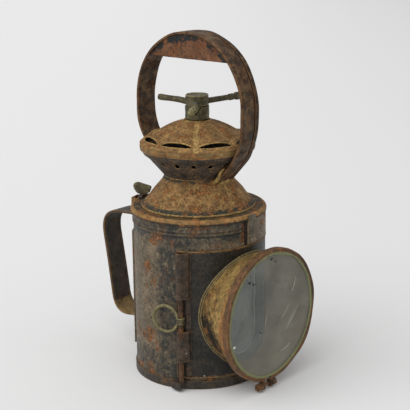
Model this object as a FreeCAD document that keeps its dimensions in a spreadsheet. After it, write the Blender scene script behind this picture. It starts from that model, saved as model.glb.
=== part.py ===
"""Hand signal lantern of rusted tinplate with brass fittings, as an assembly of separate solids.

Frame: millimetres, +Z up, origin at the middle of the base on the floor. The lens faces -Y, the rear
handle is at +Y and the carrying hoop stands in the YZ plane. An azimuth of 0 points along -Y and grows
towards +X.
"""
import FreeCAD, Part
import Sketcher
import math
import os
import re

Vector = FreeCAD.Vector
Rotation = FreeCAD.Rotation

doc = FreeCAD.newDocument("SignalLantern")
sheet = doc.addObject("Spreadsheet::Sheet", "Sizes")

SIZES = {
    # Gauges and clearances
    "wall": 1.0,
    "cone_gauge": 1.2,
    "seam": 0.05,
    "running": 0.06,
    "play": 0.4,
    # Round body and its base
    "body_radius": 60.0,
    "floor_gauge": 1.2,
    "foot_gauge": 1.0,
    "foot_height": 8.0,
    "shell_top": 157.0,
    "bead_low": 144.0,
    "bead_height": 4.0,
    "bead_rise": 1.2,
    "doorway_start": -54.0,
    "doorway_end": 58.0,
    "doorway_margin": 3.0,
    # Doubler plates soldered on the body
    "back_plate_gauge": 1.75,
    "back_plate_half_angle": 43.0,
    "back_plate_low": 22.6,
    "back_plate_high": 132.4,
    "hinge_plate_gauge": 1.95,
    "hinge_plate_start": -2.0,
    "hinge_plate_end": 60.0,
    # Flange that closes the top of the body
    "rim_gauge": 2.6,
    "rim_drop": 4.0,
    "rim_chamfer": 1.0,
    "flange_gauge": 1.8,
    "flange_inner": 49.0,
    # Roof cone, neck and cowl bowl
    "step_radius": 52.5,
    "step_height": 1.2,
    "cone_low_radius": 46.9,
    "cone_low_rise": 6.2,
    "cone_mid_radius": 41.2,
    "cone_mid_rise": 13.8,
    "cone_high_radius": 34.7,
    "cone_high_rise": 21.2,
    "neck_radius": 31.1,
    "neck_rise": 26.5,
    "neck_length": 1.7,
    "bowl_low_radius": 38.0,
    "bowl_low_rise": 8.0,
    "bowl_mid_radius": 44.3,
    "bowl_mid_rise": 15.6,
    "bowl_high_radius": 49.5,
    "bowl_high_rise": 19.5,
    "bowl_lip_rise": 23.7,
    "vent_radius": 1.5,
    "vent_rise": 15.0,
    "vent_pairs": 9,
    "vent_turn": 8.0,
    # Cowl rim and lobed cap
    "cowl_radius": 52.4,
    "cowl_band": 5.7,
    "lobe_count": 8,
    "lobe_turn": -26.5,
    "lobe_depth": 2.6,
    "cap_gauge": 1.6,
    "cap_low_radius": 41.0,
    "cap_low_rise": 5.6,
    "cap_mid_radius": 27.5,
    "cap_mid_rise": 14.6,
    "cap_top_radius": 11.5,
    "cap_top_rise": 21.0,
    "cap_slot_half_angle": 15.0,
    "cap_slot_inner": 45.5,
    "cap_slot_width": 3.4,
    # Selector spindle, drum and colour glasses
    "spindle_radius": 3.0,
    "bush_wall": 2.5,
    "bush_collar": 1.5,
    "bush_drop": 5.4,
    "bridge_width": 12.0,
    "bridge_gauge": 1.5,
    "bridge_bush": 6.0,
    "bridge_bush_drop": 5.0,
    "drum_radius": 26.0,
    "drum_gauge": 0.8,
    "drum_low": 24.0,
    "drum_high": 116.0,
    "window_half_angle": 38.0,
    "window_low": 36.0,
    "window_high": 105.0,
    "pane_gauge": 0.8,
    "pane_lap_angle": 3.0,
    "pane_lap": 3.0,
    "spider_gauge": 2.0,
    "spider_spoke": 7.0,
    "spider_hub": 7.0,
    "spider_hub_height": 12.0,
    "spider_turn": 60.0,
    "spindle_collar": 2.0,
    "spindle_collar_height": 3.0,
    "spindle_tip": 1.0,
    # Notched sleeve and sprung three armed knob
    "sleeve_radius": 10.9,
    "sleeve_bore": 8.2,
    "sleeve_height": 11.6,
    "sleeve_web": 3.0,
    "notch_depth": 7.6,
    "notch_half_width": 5.0,
    "notch_tip": 0.5,
    "tooth_gap": 0.45,
    "knob_radius": 10.5,
    "knob_height": 9.7,
    "knob_stem_gauge": 1.6,
    "knob_floor": 1.5,
    "knob_turn": -52.0,
    "arm_radius": 2.85,
    "arm_reach": 43.5,
    "arm_height": 2.1,
    "arm_droop": -1.0,
    "arm_lift": 1.0,
    "arm_round": 1.2,
    "arm_collar": 0.9,
    "arm_collar_length": 9.0,
    "arm_groove": 1.6,
    "nut_radius": 5.2,
    "nut_height": 2.2,
    "nut_sink": 1.4,
    "spring_wire": 0.9,
    "spring_radius": 4.6,
    # Carrying hoop and its hollow grip
    "strap_width": 23.0,
    "strap_gauge": 2.2,
    "hoop_half_width": 64.9,
    "hoop_shift": 1.7,
    "hoop_top": 316.0,
    "hoop_foot_height": 183.0,
    "hoop_foot_radius": 30.4,
    "hoop_leg_clearance": 2.9,
    "hoop_leg_bend": 5.5,
    "hoop_knee_height": 228.0,
    "hoop_knee_bend": 13.5,
    "solder_size": 3.6,
    "solder_reach": 5.4,
    "grip_chord": 292.0,
    "grip_gauge": 1.2,
    "grip_inset": 1.0,
    # Rear strap handle
    "handle_gauge": 2.0,
    "handle_top_root": 139.0,
    "handle_top_reach": 122.3,
    "handle_top_height": 134.0,
    "handle_top_bend": 19.0,
    "handle_low_reach": 104.8,
    "handle_low_height": 29.6,
    "handle_low_bend": 13.0,
    "handle_low_root": 36.0,
    "handle_root_bend": 3.0,
    "handle_tab": 20.0,
    "rivet_radius": 2.0,
    "rivet_head": 1.0,
    "rivet_spacing": 13.0,
    "rivet_rise": 14.0,
    # Front door, hinge and its pin
    "door_gauge": 1.2,
    "door_low": 11.0,
    "door_high": 130.6,
    "door_start": -66.0,
    "door_end": 61.0,
    "hinge_azimuth": 64.0,
    "hinge_orbit": 63.2,
    "knuckle_radius": 2.6,
    "pin_radius": 1.5,
    "pin_head": 2.2,
    "pin_head_height": 2.0,
    "knuckle_low": 14.0,
    "knuckle_high": 128.0,
    "knuckle_split_low": 34.0,
    "knuckle_split_high": 106.0,
    "leaf_gauge": 1.0,
    "leaf_start": 53.0,
    "fixed_leaf_gap": 3.0,
    "fixed_leaf_end": 80.0,
    "fixed_leaf_lap": 1.0,
    # Lens hood, clamp ring and glasses
    "lens_height": 70.45,
    "hood_base_radius": 43.0,
    "hood_base_depth": 40.6,
    "hood_rim_radius": 60.0,
    "hood_front": 86.0,
    "hood_bead": 1.5,
    "clamp_gauge": 1.05,
    "clamp_band": 4.0,
    "clamp_lip": 1.0,
    "clamp_lip_width": 3.4,
    "clamp_split_centre": -5.0,
    "clamp_split": 7.0,
    "ear_gauge": 3.4,
    "ear_low": 1.8,
    "screw_radius": 1.5,
    "screw_height": 5.2,
    "screw_head": 3.2,
    "screw_tip": 1.0,
    "screw_head_length": 4.5,
    "clamp_nut_radius": 3.8,
    "clamp_nut_length": 5.0,
    "glass_gauge": 1.5,
    "putty_width": 2.2,
    "putty_gauge": 0.6,
    "lens_back": 27.5,
    "lens_edge": 3.0,
    "lens_crown": 4.0,
    "lens_ring_gauge": 1.2,
    "lens_ring_width": 2.0,
    # Lift bolt of the door
    "bolt_azimuth": -62.0,
    "bolt_orbit": 65.0,
    "bolt_radius": 2.5,
    "bolt_low": 3.5,
    "bolt_high": 112.0,
    "bolt_chamfer": 0.5,
    "guide_wall": 1.2,
    "guide_flap_end": -53.5,
    "guide_flap_gauge": 1.2,
    "guide_low": 28.5,
    "slot_low": 57.0,
    "slot_high": 87.5,
    "guide_high": 130.0,
    "ring_radius": 12.15,
    "ring_wire": 1.6,
    "ring_offset": 15.0,
    "ring_height": 67.0,
    "ring_heading": 105.9,
    "eye_gauge": 1.4,
    "eye_height": 6.0,
    "keeper_wall": 2.0,
    "keeper_low": 2.0,
    "keeper_high": 9.0,
    "keeper_reach": 5.0,
    "keeper_play": 0.6,
    # Thumb catch at the back of the flange
    "thumb_azimuth": -162.0,
    "thumb_bar_width": 8.0,
    "thumb_bar_gauge": 1.2,
    "thumb_bar_inner": 57.0,
    "thumb_toe_inner": 41.6,
    "thumb_toe_low": 3.2,
    "thumb_toe_height": 3.0,
    "thumb_neck_width": 6.0,
    "thumb_neck_top": 165.0,
    "thumb_top": 171.5,
    "thumb_width": 17.0,
    "thumb_dip": 3.0,
    "guide_box_wall": 1.2,
    "guide_box_height": 2.8,
    "pocket_width": 12.0,
    "pocket_depth": 4.0,
    "pocket_height": 9.0,
    "pocket_gauge": 0.8,
    # Candle, its tray and the reflector
    "stud_radius": 5.0,
    "stud_top": 18.0,
    "tray_radius": 44.0,
    "tray_gauge": 1.2,
    "tray_rim": 7.0,
    "tray_lift": 0.3,
    "tray_notch_play": 0.8,
    "pedestal_gauge": 1.9,
    "pedestal_top": 20.0,
    "candle_radius": 11.1,
    "candle_top": 58.0,
    "candle_dome": 1.5,
    "socket_gauge": 1.0,
    "socket_height": 12.0,
    "wick_radius": 0.8,
    "wick_length": 6.0,
    "reflector_radius": 17.0,
    "reflector_depth": 6.0,
    "reflector_gauge": 0.8,
    "reflector_back": 13.0,
    "post_width": 8.0,
    "post_gauge": 1.2,
    "post_top": 80.0,
}


def fill_sheet():
    """Write each driving size into the sheet, one row each, with its name as the alias."""
    for row, (alias, number) in enumerate(SIZES.items(), start=1):
        sheet.set(f"A{row}", alias)
        sheet.set(f"B{row}", str(number))
        sheet.setAlias(f"B{row}", alias)
    doc.recompute()


def linked(text):
    """Put the sheet's name before each alias in an expression."""
    return re.sub(r"[a-z_]+", lambda word: f"Sizes.{word[0]}" if word[0] in SIZES else word[0], text)


def value(text):
    """Work out an expression of the sheet's sizes, in millimetres or degrees."""
    return float(sheet.evalExpression(linked(text)))


def bind(piece, **expressions):
    """Bind properties of a document object to expressions of the sheet."""
    for name, text in expressions.items():
        piece.setExpression(name, linked(text))


def place(piece, x="0", y="0", z="0", rotation=None):
    """Turn a piece, then bind its place to three expressions."""
    if rotation is not None:
        piece.Placement = FreeCAD.Placement(Vector(0, 0, 0), rotation)
    for axis, text in zip("xyz", (x, y, z)):
        piece.setExpression(f"Placement.Base.{axis}", linked(text))


# Turns about the vertical that carry the -Y direction to an azimuth
def about_z(azimuth):
    return Rotation(Vector(0, 0, 1), value(azimuth))


# The turn that lays a piece's own +Z along -Y, tilted up by an angle
def forward(tilt="0"):
    return Rotation(Vector(1, 0, 0), 90.0 - value(tilt))


def rod(label, radius, low, high, x="0", y="0"):
    """An upright round bar."""
    piece = doc.addObject("Part::Cylinder", label)
    bind(piece, Radius=radius, Height=f"({high}) - ({low})")
    place(piece, x, y, low)
    return piece


def block(label, size, corner, azimuth="0", centre=("0", "0")):
    """A box given by its size and low corner, turned about an upright line through centre."""
    piece = doc.addObject("Part::Box", label)
    bind(piece, Length=size[0], Width=size[1], Height=size[2])
    turn = about_z(azimuth)
    low = turn.multVec(Vector(value(corner[0]), value(corner[1]), value(corner[2])))
    x = f"({centre[0]}) + ({corner[0]}) * cos({azimuth}) - ({corner[1]}) * sin({azimuth})"
    y = f"({centre[1]}) + ({corner[0]}) * sin({azimuth}) + ({corner[1]}) * cos({azimuth})"
    piece.Placement = FreeCAD.Placement(low, turn)
    place(piece, x, y, corner[2], turn)
    return piece


def fused(label, *pieces):
    """One solid made of several pieces that run into each other."""
    piece = doc.addObject("Part::MultiFuse", label)
    piece.Shapes = list(pieces)
    piece.Refine = True
    return piece


def cut(label, base, *tools):
    """A piece with the shapes of the tools taken out of it."""
    piece = doc.addObject("Part::Cut", label)
    piece.Base = base
    piece.Tool = tools[0] if len(tools) == 1 else fused(label + "_tools", *tools)
    return piece


def shared(label, first, second):
    """What two pieces have in common."""
    piece = doc.addObject("Part::Common", label)
    piece.Base = first
    piece.Tool = second
    return piece


def tube(label, outer, inner, low, high, x="0", y="0"):
    """An upright tube."""
    blank = rod(label + "_outer", outer, low, high, x, y)
    return cut(label, blank, rod(label + "_bore", inner, low, high, x, y))


def sector(label, outer, inner, low, high, start, end):
    """A bent plate: the stretch of an upright tube from one azimuth to another."""
    blank = doc.addObject("Part::Cylinder", label + "_blank")
    bind(blank, Radius=outer, Height=f"({high}) - ({low})", Angle=f"({end}) - ({start})")
    place(blank, z=low, rotation=Rotation(Vector(0, 0, 1), value(start) - 90.0))
    return cut(label, blank, rod(label + "_bore", inner, low, high))


def origin_plane(body, role):
    """One of a body's own origin planes."""
    return next(feature for feature in body.Origin.OriginFeatures if feature.Role == role)


def turned(label, outline):
    """A solid of revolution about its own Z, from corner points of expressions (radius, height)."""
    body = doc.addObject("PartDesign::Body", label)
    sketch = body.newObject("Sketcher::SketchObject", label + "_profile")
    sketch.AttachmentSupport = (origin_plane(body, "XZ_Plane"), [""])
    sketch.MapMode = "FlatFace"
    corners = [Vector(value(radius), value(height), 0) for radius, height in outline]
    count = len(corners)
    for index, corner in enumerate(corners):
        sketch.addGeometry(Part.LineSegment(corner, corners[(index + 1) % count]), False)
    for index in range(count):
        sketch.addConstraint(Sketcher.Constraint("Coincident", index, 2, (index + 1) % count, 1))
    for index, (radius, height) in enumerate(outline):
        bound = []
        if radius == "0":
            sketch.addConstraint(Sketcher.Constraint("PointOnObject", index, 1, -2))
        else:
            bound.append(("DistanceX", corners[index].x, radius))
        if height == "0":
            sketch.addConstraint(Sketcher.Constraint("PointOnObject", index, 1, -1))
        else:
            bound.append(("DistanceY", corners[index].y, height))
        for kind, number, text in bound:
            row = sketch.addConstraint(Sketcher.Constraint(kind, -1, 1, index, 1, number))
            sketch.setExpression(f"Constraints[{row}]", linked(text))
    solid = body.newObject("PartDesign::Revolution", label + "_turning")
    solid.Profile = sketch
    solid.ReferenceAxis = (sketch, ["V_Axis"])
    solid.Angle = 360
    return body


def sheet_cone(label, points, gauge):
    """A turned sheet: the outer points upwards, then the same points inwards by the gauge."""
    inner = [(f"{radius} - {gauge}", height) for radius, height in reversed(points)]
    return turned(label, points + inner)


def facing(label, outline):
    """A solid turned about the lens axis, from (radius, distance forward of the body's axis)."""
    body = turned(label, outline)
    place(body, z="lens_height", rotation=forward())
    return body


def bent_wire(points, bends):
    """Straight runs through points in the YZ plane, joined by tangent arcs of the given radii."""
    edges = []
    start = points[0]
    for before, corner, after, bend in zip(points, points[1:], points[2:], bends):
        inward = (before - corner).normalize()
        onward = (after - corner).normalize()
        half = inward.getAngle(onward) / 2
        reach = bend / math.tan(half)
        middle = corner + (inward + onward).normalize() * (bend / math.sin(half) - bend)
        first = corner + inward * reach
        last = corner + onward * reach
        if start.distanceToPoint(first) > value("seam"):
            edges.append(Part.makeLine(start, first))
        else:
            first = start
        edges.append(Part.Arc(first, middle, last).toShape())
        start = last
    edges.append(Part.makeLine(start, points[-1]))
    return Part.Wire(edges)


def bend_radii(points, reaches):
    """Radii of bends that each take up a given length of strap on both sides of their corner."""
    corners = [Vector(0, value(y), value(z)) for y, z in points]
    radii = []
    for before, corner, after, reach in zip(corners, corners[1:], corners[2:], reaches):
        half = (before - corner).getAngle(after - corner) / 2
        radii.append(f"{value(reach) * math.tan(half)}")
    return radii


def strap(label, points, bends, gauge):
    """A bent strap of the common width, its mid line through points of expressions (y, z)."""
    corners = [Vector(0, value(y), value(z)) for y, z in points]
    line = bent_wire(corners, [value(bend) for bend in bends])
    thickness = value(gauge)
    width = value("strap_width")
    edge = line.makeOffset2D(thickness / 2, 0, False, True)
    face = edge.makeOffset2D(-thickness, 0, True, True)
    solid = face.extrude(Vector(width, 0, 0))
    solid.translate(Vector(-width / 2, 0, 0))
    piece = doc.addObject("Part::Feature", label)
    piece.Shape = solid
    return piece


def star(radius, depth, height):
    """A wire of lobes seen from above: ridges at the radius, valleys nearer by the depth."""
    lobes = int(value("lobe_count"))
    corners = []
    for step in range(2 * lobes):
        angle = math.radians(value("lobe_turn") - 90.0 + 180.0 * step / lobes)
        reach = radius if step % 2 == 0 else radius - depth
        corners.append(Vector(reach * math.cos(angle), reach * math.sin(angle), height))
    return Part.makePolygon(corners + corners[:1])


def wedge(label, half_top, half_tip, low, high, inner, outer, azimuth):
    """An upright V that narrows downwards, between two distances from the axis."""
    piece = doc.addObject("Part::Wedge", label)
    bind(piece, Xmin=f"-({half_tip})", Xmax=half_tip, X2min=f"-({half_top})", X2max=half_top)
    bind(piece, Ymin=low, Ymax=high, Zmin=inner, Zmax=outer, Z2min=inner, Z2max=outer)
    piece.Placement = FreeCAD.Placement(Vector(0, 0, 0), about_z(azimuth) * forward())
    return piece


fill_sheet()

# The three stations of the colour selector, in degrees
THIRDS = (0, 120, 240)
# Points of a lens or dish between its middle and its rim, as shares of its radius and of its depth there
LENS_CURVE = ((0.7, 0.5), (0.4, 0.85))
DISH_CURVE = ((0.4, 0.85), (0.75, 0.45))

# Heights and radii that several pieces share
SHELL_INNER = "body_radius - wall"
SEAT_RADIUS = "body_radius + seam"
FOOT_RADIUS = "body_radius + seam + foot_gauge"
BEAD_TOP = "bead_low + bead_height"
RIM_LOW = "shell_top - rim_drop"
FLANGE_TOP = "shell_top + flange_gauge"
NECK_LOW = "shell_top + flange_gauge + neck_rise"
NECK_TOP = "shell_top + flange_gauge + neck_rise + neck_length"
NECK_INNER = "neck_radius - cone_gauge"
COWL_LOW = f"{NECK_TOP} + bowl_lip_rise"
COWL_HIGH = f"{COWL_LOW} + cowl_band"
CAP_TOP = f"{COWL_HIGH} + cap_top_rise"
SLEEVE_LOW = f"{CAP_TOP} + play"
SLEEVE_TOP = f"{SLEEVE_LOW} + sleeve_height"
KNOB_LOW = f"{SLEEVE_TOP} + play"
KNOB_TOP = f"{KNOB_LOW} + knob_height"
NUT_TOP = f"{KNOB_TOP} - nut_sink"
NUT_LOW = f"{NUT_TOP} - nut_height"
DOOR_INNER = "body_radius + play"
DOOR_OUTER = "body_radius + play + door_gauge"
DOOR_SEAT = "body_radius + play + door_gauge + seam"
BOLT_X = "bolt_orbit * sin(bolt_azimuth)"
BOLT_Y = "-bolt_orbit * cos(bolt_azimuth)"
HINGE_X = "hinge_orbit * sin(hinge_azimuth)"
HINGE_Y = "-hinge_orbit * cos(hinge_azimuth)"
HOOD_SLOPE = "(hood_rim_radius - hood_base_radius) / (hood_front - hood_base_depth)"
DOORWAY_REACH = f"hood_base_radius + (body_radius - hood_base_depth) * {HOOD_SLOPE} + doorway_margin"


def make_body():
    """Base, round shell, plates soldered to it and the flange that closes its top."""
    turned("base_plate", [
        ("0", "0"), (FOOT_RADIUS, "0"), (FOOT_RADIUS, "foot_height"), (SEAT_RADIUS, "foot_height"),
        (SEAT_RADIUS, "floor_gauge"), ("0", "floor_gauge")])
    rod("tray_stud", "stud_radius", "floor_gauge", "stud_top")
    blank = turned("shell_blank", [
        (SHELL_INNER, "floor_gauge"), ("body_radius", "floor_gauge"), ("body_radius", "bead_low"),
        ("body_radius + bead_rise", "bead_low + bead_height / 2"), ("body_radius", BEAD_TOP),
        ("body_radius", "shell_top"), (SHELL_INNER, "shell_top")])
    doorway = sector("doorway", FOOT_RADIUS, f"{SHELL_INNER} - wall", f"lens_height - ({DOORWAY_REACH})",
                     f"lens_height + {DOORWAY_REACH}", "doorway_start", "doorway_end")
    cut("body_shell", blank, doorway)
    sector("back_plate", f"{SEAT_RADIUS} + back_plate_gauge", SEAT_RADIUS, "back_plate_low",
           "back_plate_high",
           "180 - back_plate_half_angle", "180 + back_plate_half_angle")
    plate = sector("hinge_plate_blank", f"{SEAT_RADIUS} + hinge_plate_gauge", SEAT_RADIUS, "door_high + play",
                   RIM_LOW, "hinge_plate_start", "hinge_plate_end")
    groove = rod("bead_groove", f"{SEAT_RADIUS} + bead_rise", "bead_low - seam", f"{BEAD_TOP} + seam")
    cut("hinge_plate", plate, groove)
    flange = turned("flange_blank", [
        (SEAT_RADIUS, RIM_LOW), (f"{SEAT_RADIUS} + rim_gauge", RIM_LOW),
        (f"{SEAT_RADIUS} + rim_gauge", f"{FLANGE_TOP} - rim_chamfer"),
        (f"{SEAT_RADIUS} + rim_gauge - rim_chamfer", FLANGE_TOP), ("flange_inner", FLANGE_TOP),
        ("flange_inner", "shell_top"), (SEAT_RADIUS, "shell_top")])
    cut("top_flange", flange, thumb_slot("flange_slot", "shell_top", FLANGE_TOP))


def thumb_slot(label, low, high):
    """The slot that the thumb bar slides in, with play all round."""
    return block(label, ("thumb_bar_width + 2 * play", "thumb_bar_gauge + 2 * play", f"({high}) - ({low})"),
                 ("-thumb_bar_width / 2 - play", "-thumb_bar_inner - thumb_bar_gauge - play", low),
                 "thumb_azimuth")


def make_roof():
    """Roof cone, vented bowl, cowl rim and lobed cap, with the two bearings of the spindle."""
    sheet_cone("roof_cone", [
        ("step_radius", FLANGE_TOP), ("step_radius", f"{FLANGE_TOP} + step_height"),
        ("cone_low_radius", f"{FLANGE_TOP} + cone_low_rise"),
        ("cone_mid_radius", f"{FLANGE_TOP} + cone_mid_rise"),
        ("cone_high_radius", f"{FLANGE_TOP} + cone_high_rise"), ("neck_radius", NECK_LOW),
        ("neck_radius", NECK_TOP)], "cone_gauge")
    bowl = sheet_cone("bowl_blank", [
        ("neck_radius", NECK_TOP), ("bowl_low_radius", f"{NECK_TOP} + bowl_low_rise"),
        ("bowl_mid_radius", f"{NECK_TOP} + bowl_mid_rise"),
        ("bowl_high_radius", f"{NECK_TOP} + bowl_high_rise"),
        ("cowl_radius - wall - seam", COWL_LOW), ("cowl_radius - wall - seam", f"{COWL_HIGH} - wall")],
        "cone_gauge")
    vents = []
    pairs = int(value("vent_pairs"))
    for index in range(pairs):
        vent = doc.addObject("Part::Cylinder", f"vent_{index}")
        bind(vent, Radius="vent_radius", Height="2 * cowl_radius")
        turn = Rotation(Vector(0, 0, 1), value("vent_turn") + index * 180.0 / pairs) * forward()
        reach = turn.multVec(Vector(0, 0, value("cowl_radius")))
        vent.Placement = FreeCAD.Placement(Vector(-reach.x, -reach.y, value(f"{NECK_TOP} + vent_rise")), turn)
        vents.append(vent)
    cut("cowl_bowl", bowl, *vents)
    tube("cowl_rim", "cowl_radius", "cowl_radius - wall", COWL_LOW, COWL_HIGH)
    make_cap()
    turned("cap_bush", [
        ("spindle_radius + running", f"{CAP_TOP} - bush_drop"), ("spindle_radius + bush_wall + bush_collar",
        f"{CAP_TOP} - bush_drop"),
        ("spindle_radius + bush_wall + bush_collar", f"{CAP_TOP} - cap_gauge - seam"),
        ("spindle_radius + bush_wall", f"{CAP_TOP} - cap_gauge - seam"),
        ("spindle_radius + bush_wall", CAP_TOP),
        ("spindle_radius + running", CAP_TOP)])
    bar = block("bridge_bar", (f"2 * ({NECK_INNER})", "bridge_width", "bridge_gauge"),
                (f"-({NECK_INNER})", "-bridge_width / 2", f"{NECK_TOP} - bridge_gauge"))
    round_bar = shared("bridge_round", bar, rod("bridge_trim", f"{NECK_INNER} - seam", NECK_LOW, NECK_TOP))
    bush = rod("bridge_boss", "bridge_bush", f"{NECK_TOP} - bridge_bush_drop",
               f"{NECK_TOP} + bridge_bush_drop")
    bore = rod("bridge_bore", "spindle_radius + running", f"{NECK_TOP} - 2 * bridge_bush_drop",
               f"{NECK_TOP} + 2 * bridge_bush_drop")
    cut("spindle_bridge", fused("bridge_solid", round_bar, bush), bore)


def make_cap():
    """The lobed cap: a ruled skin through star shaped outlines, with a slot under each lobe."""
    levels = [("cowl_radius", COWL_HIGH, "lobe_depth"),
              ("cap_low_radius", f"{COWL_HIGH} + cap_low_rise", "lobe_depth"),
              ("cap_mid_radius", f"{COWL_HIGH} + cap_mid_rise", "lobe_depth / 2"),
              ("cap_top_radius", CAP_TOP, "0")]
    skins = []
    for drop in ("0", "cap_gauge"):
        wires = []
        for radius, height, depth in levels:
            reach = f"{radius} - 2 * ({drop})" if radius == "cowl_radius" else radius
            low = height if radius == "cowl_radius" else f"{height} - ({drop})"
            wires.append(star(value(reach), value(depth), value(low)))
        skins.append(Part.makeLoft(wires, True, True))
    dome = doc.addObject("Part::Feature", "cap_dome")
    dome.Shape = skins[0].cut(skins[1])
    slots = []
    lobes = int(value("lobe_count"))
    for index in range(lobes):
        middle = f"lobe_turn + {index} * 360 / lobe_count"
        slots.append(sector(f"cap_slot_{index}", "cap_slot_inner + cap_slot_width", "cap_slot_inner",
                            COWL_LOW,
                            f"{COWL_HIGH} + cap_mid_rise", f"{middle} - cap_slot_half_angle",
                            f"{middle} + cap_slot_half_angle"))
    bore = rod("cap_bore", "spindle_radius + bush_wall + seam", COWL_HIGH, f"{CAP_TOP} + play")
    cut("cowl_cap", dome, bore, *slots)


def make_hoop():
    """The carrying hoop soldered to the neck, and the hollow half moon grip under its top."""
    inner = "hoop_half_width - strap_gauge / 2"
    front = f"hoop_shift - ({inner})"
    back = f"hoop_shift + {inner}"
    crown = "hoop_top - strap_gauge / 2"
    pass_radius = "bowl_high_radius + hoop_leg_clearance"
    pass_height = f"{NECK_TOP} + bowl_high_rise"
    points = [("-hoop_foot_radius", "hoop_foot_height"), (f"-({pass_radius})", pass_height),
              (front, "hoop_knee_height"), (front, crown), (back, crown), (back, "hoop_knee_height"),
              (pass_radius, pass_height), ("hoop_foot_radius", "hoop_foot_height")]
    reaches = ["hoop_leg_bend", "hoop_knee_bend", inner, inner, "hoop_knee_bend", "hoop_leg_bend"]
    bends = bend_radii(points, reaches)
    whole = strap("hoop_whole", points, bends, "strap_gauge")
    neck = turned("neck_envelope", [
        ("0", FLANGE_TOP), ("step_radius + seam", FLANGE_TOP),
        ("step_radius + seam", f"{FLANGE_TOP} + step_height"),
        ("cone_low_radius + seam", f"{FLANGE_TOP} + cone_low_rise"),
        ("cone_mid_radius + seam", f"{FLANGE_TOP} + cone_mid_rise"),
        ("cone_high_radius + seam", f"{FLANGE_TOP} + cone_high_rise"), ("neck_radius + seam", NECK_LOW),
        ("neck_radius + seam", NECK_TOP), ("bowl_low_radius + seam", f"{NECK_TOP} + bowl_low_rise"),
        ("0", f"{NECK_TOP} + bowl_low_rise")])
    cut("hoop_strap", whole, neck)
    lumps = []
    for side, low in (("front", "-neck_radius - solder_size"), ("back", "neck_radius - solder_size / 2")):
        lumps.append(block(f"solder_{side}", ("strap_width + solder_size", "solder_reach", "2 * solder_size"),
                           ("-(strap_width + solder_size) / 2", low, f"{NECK_LOW} - solder_size")))
    around_strap = strap("hoop_grown", points, bends, "strap_gauge + 2 * seam")
    cut("hoop_solder", fused("solder_lumps", *lumps), neck, around_strap)
    bore = "hoop_half_width - strap_gauge - seam"
    plates = []
    for side, x in (("left", "-strap_width / 2 + grip_inset"),
                    ("right", "strap_width / 2 - grip_inset - grip_gauge")):
        disc = doc.addObject("Part::Cylinder", f"grip_disc_{side}")
        bind(disc, Radius=bore, Height="grip_gauge")
        place(disc, x, "hoop_shift", "hoop_top - hoop_half_width", Rotation(Vector(0, 1, 0), 90))
        below = block(f"grip_below_{side}", ("strap_width", "2 * hoop_half_width", "2 * hoop_half_width"),
                      ("-strap_width / 2", "hoop_shift - hoop_half_width",
                       "grip_chord - 2 * hoop_half_width"))
        plates.append(cut(f"grip_plate_{side}", disc, below))
    join = doc.addObject("Part::Compound", "grip_sides")
    join.Links = plates
    reach = f"sqrt(({bore})^2 - (grip_chord + grip_gauge - hoop_top + hoop_half_width)^2)"
    gap = "strap_width - 2 * (grip_inset + grip_gauge + seam)"
    block("grip_floor", (gap, f"2 * {reach}", "grip_gauge"),
          (f"-({gap}) / 2", f"hoop_shift - {reach}", "grip_chord"))


def make_handle():
    """The strap handle riveted to the back plate."""
    root = f"{SEAT_RADIUS} + back_plate_gauge + seam + handle_gauge / 2"
    points = [(root, "handle_top_root - handle_tab"), (root, "handle_top_root"),
              ("handle_top_reach", "handle_top_height"), ("handle_low_reach", "handle_low_height"),
              (root, "handle_low_root"), (root, "handle_low_root + handle_tab")]
    bends = ["handle_root_bend", "handle_top_bend", "handle_low_bend", "handle_root_bend"]
    strap("rear_handle", points, bends, "handle_gauge")
    rivets = []
    for level in ("handle_top_root - rivet_rise", "handle_low_root + rivet_rise"):
        for side in ("-rivet_spacing / 2", "rivet_spacing / 2"):
            rivet = doc.addObject("Part::Cone", f"rivet_{len(rivets)}")
            bind(rivet, Radius1="rivet_radius", Radius2="rivet_radius / 2", Height="rivet_head")
            place(rivet, side, f"{root} + handle_gauge / 2", level, Rotation(Vector(1, 0, 0), -90))
            rivets.append(rivet)
    group = doc.addObject("Part::Compound", "handle_rivets")
    group.Links = rivets


def make_hinge():
    """The fixed hinge leaf with its two knuckles, the pin, and the leaf on the door between them."""
    fixed = "hinge_azimuth + fixed_leaf_gap"
    plate_outer = f"{SEAT_RADIUS} + leaf_gauge"
    pieces = [sector("fixed_plate", plate_outer, SEAT_RADIUS, "knuckle_low", "knuckle_high", fixed,
                     "fixed_leaf_end")]
    for name, low, high in (("low", "knuckle_low", "knuckle_split_low"),
                            ("high", "knuckle_split_high", "knuckle_high")):
        pieces.append(rod(f"knuckle_{name}", "knuckle_radius", low, high, HINGE_X, HINGE_Y))
        pieces.append(sector(f"knuckle_tab_{name}", plate_outer, SEAT_RADIUS, low, high, "hinge_azimuth",
                             f"{fixed} + fixed_leaf_lap"))
    bore = rod("fixed_bore", "pin_radius + seam", "0", "shell_top", HINGE_X, HINGE_Y)
    cut("hinge_leaf", fused("fixed_leaf_solid", *pieces), bore)
    pin = turned("hinge_pin", [
        ("0", "knuckle_low"), ("pin_radius", "knuckle_low"), ("pin_radius", "knuckle_high + seam"),
        ("pin_head", "knuckle_high + seam"), ("pin_head", "knuckle_high + pin_head_height"),
        ("0", "knuckle_high + pin_head_height")])
    place(pin, HINGE_X, HINGE_Y)
    low = "knuckle_split_low + play"
    high = "knuckle_split_high - play"
    barrel = rod("door_knuckle", "knuckle_radius", low, high, HINGE_X, HINGE_Y)
    leaf = sector("door_leaf_plate", f"{DOOR_SEAT} + leaf_gauge", DOOR_SEAT, low, high, "leaf_start",
                  "hinge_azimuth")
    eye = rod("door_leaf_bore", "pin_radius + running", "0", "shell_top", HINGE_X, HINGE_Y)
    cut("door_leaf", fused("door_leaf_solid", barrel, leaf), eye)


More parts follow.
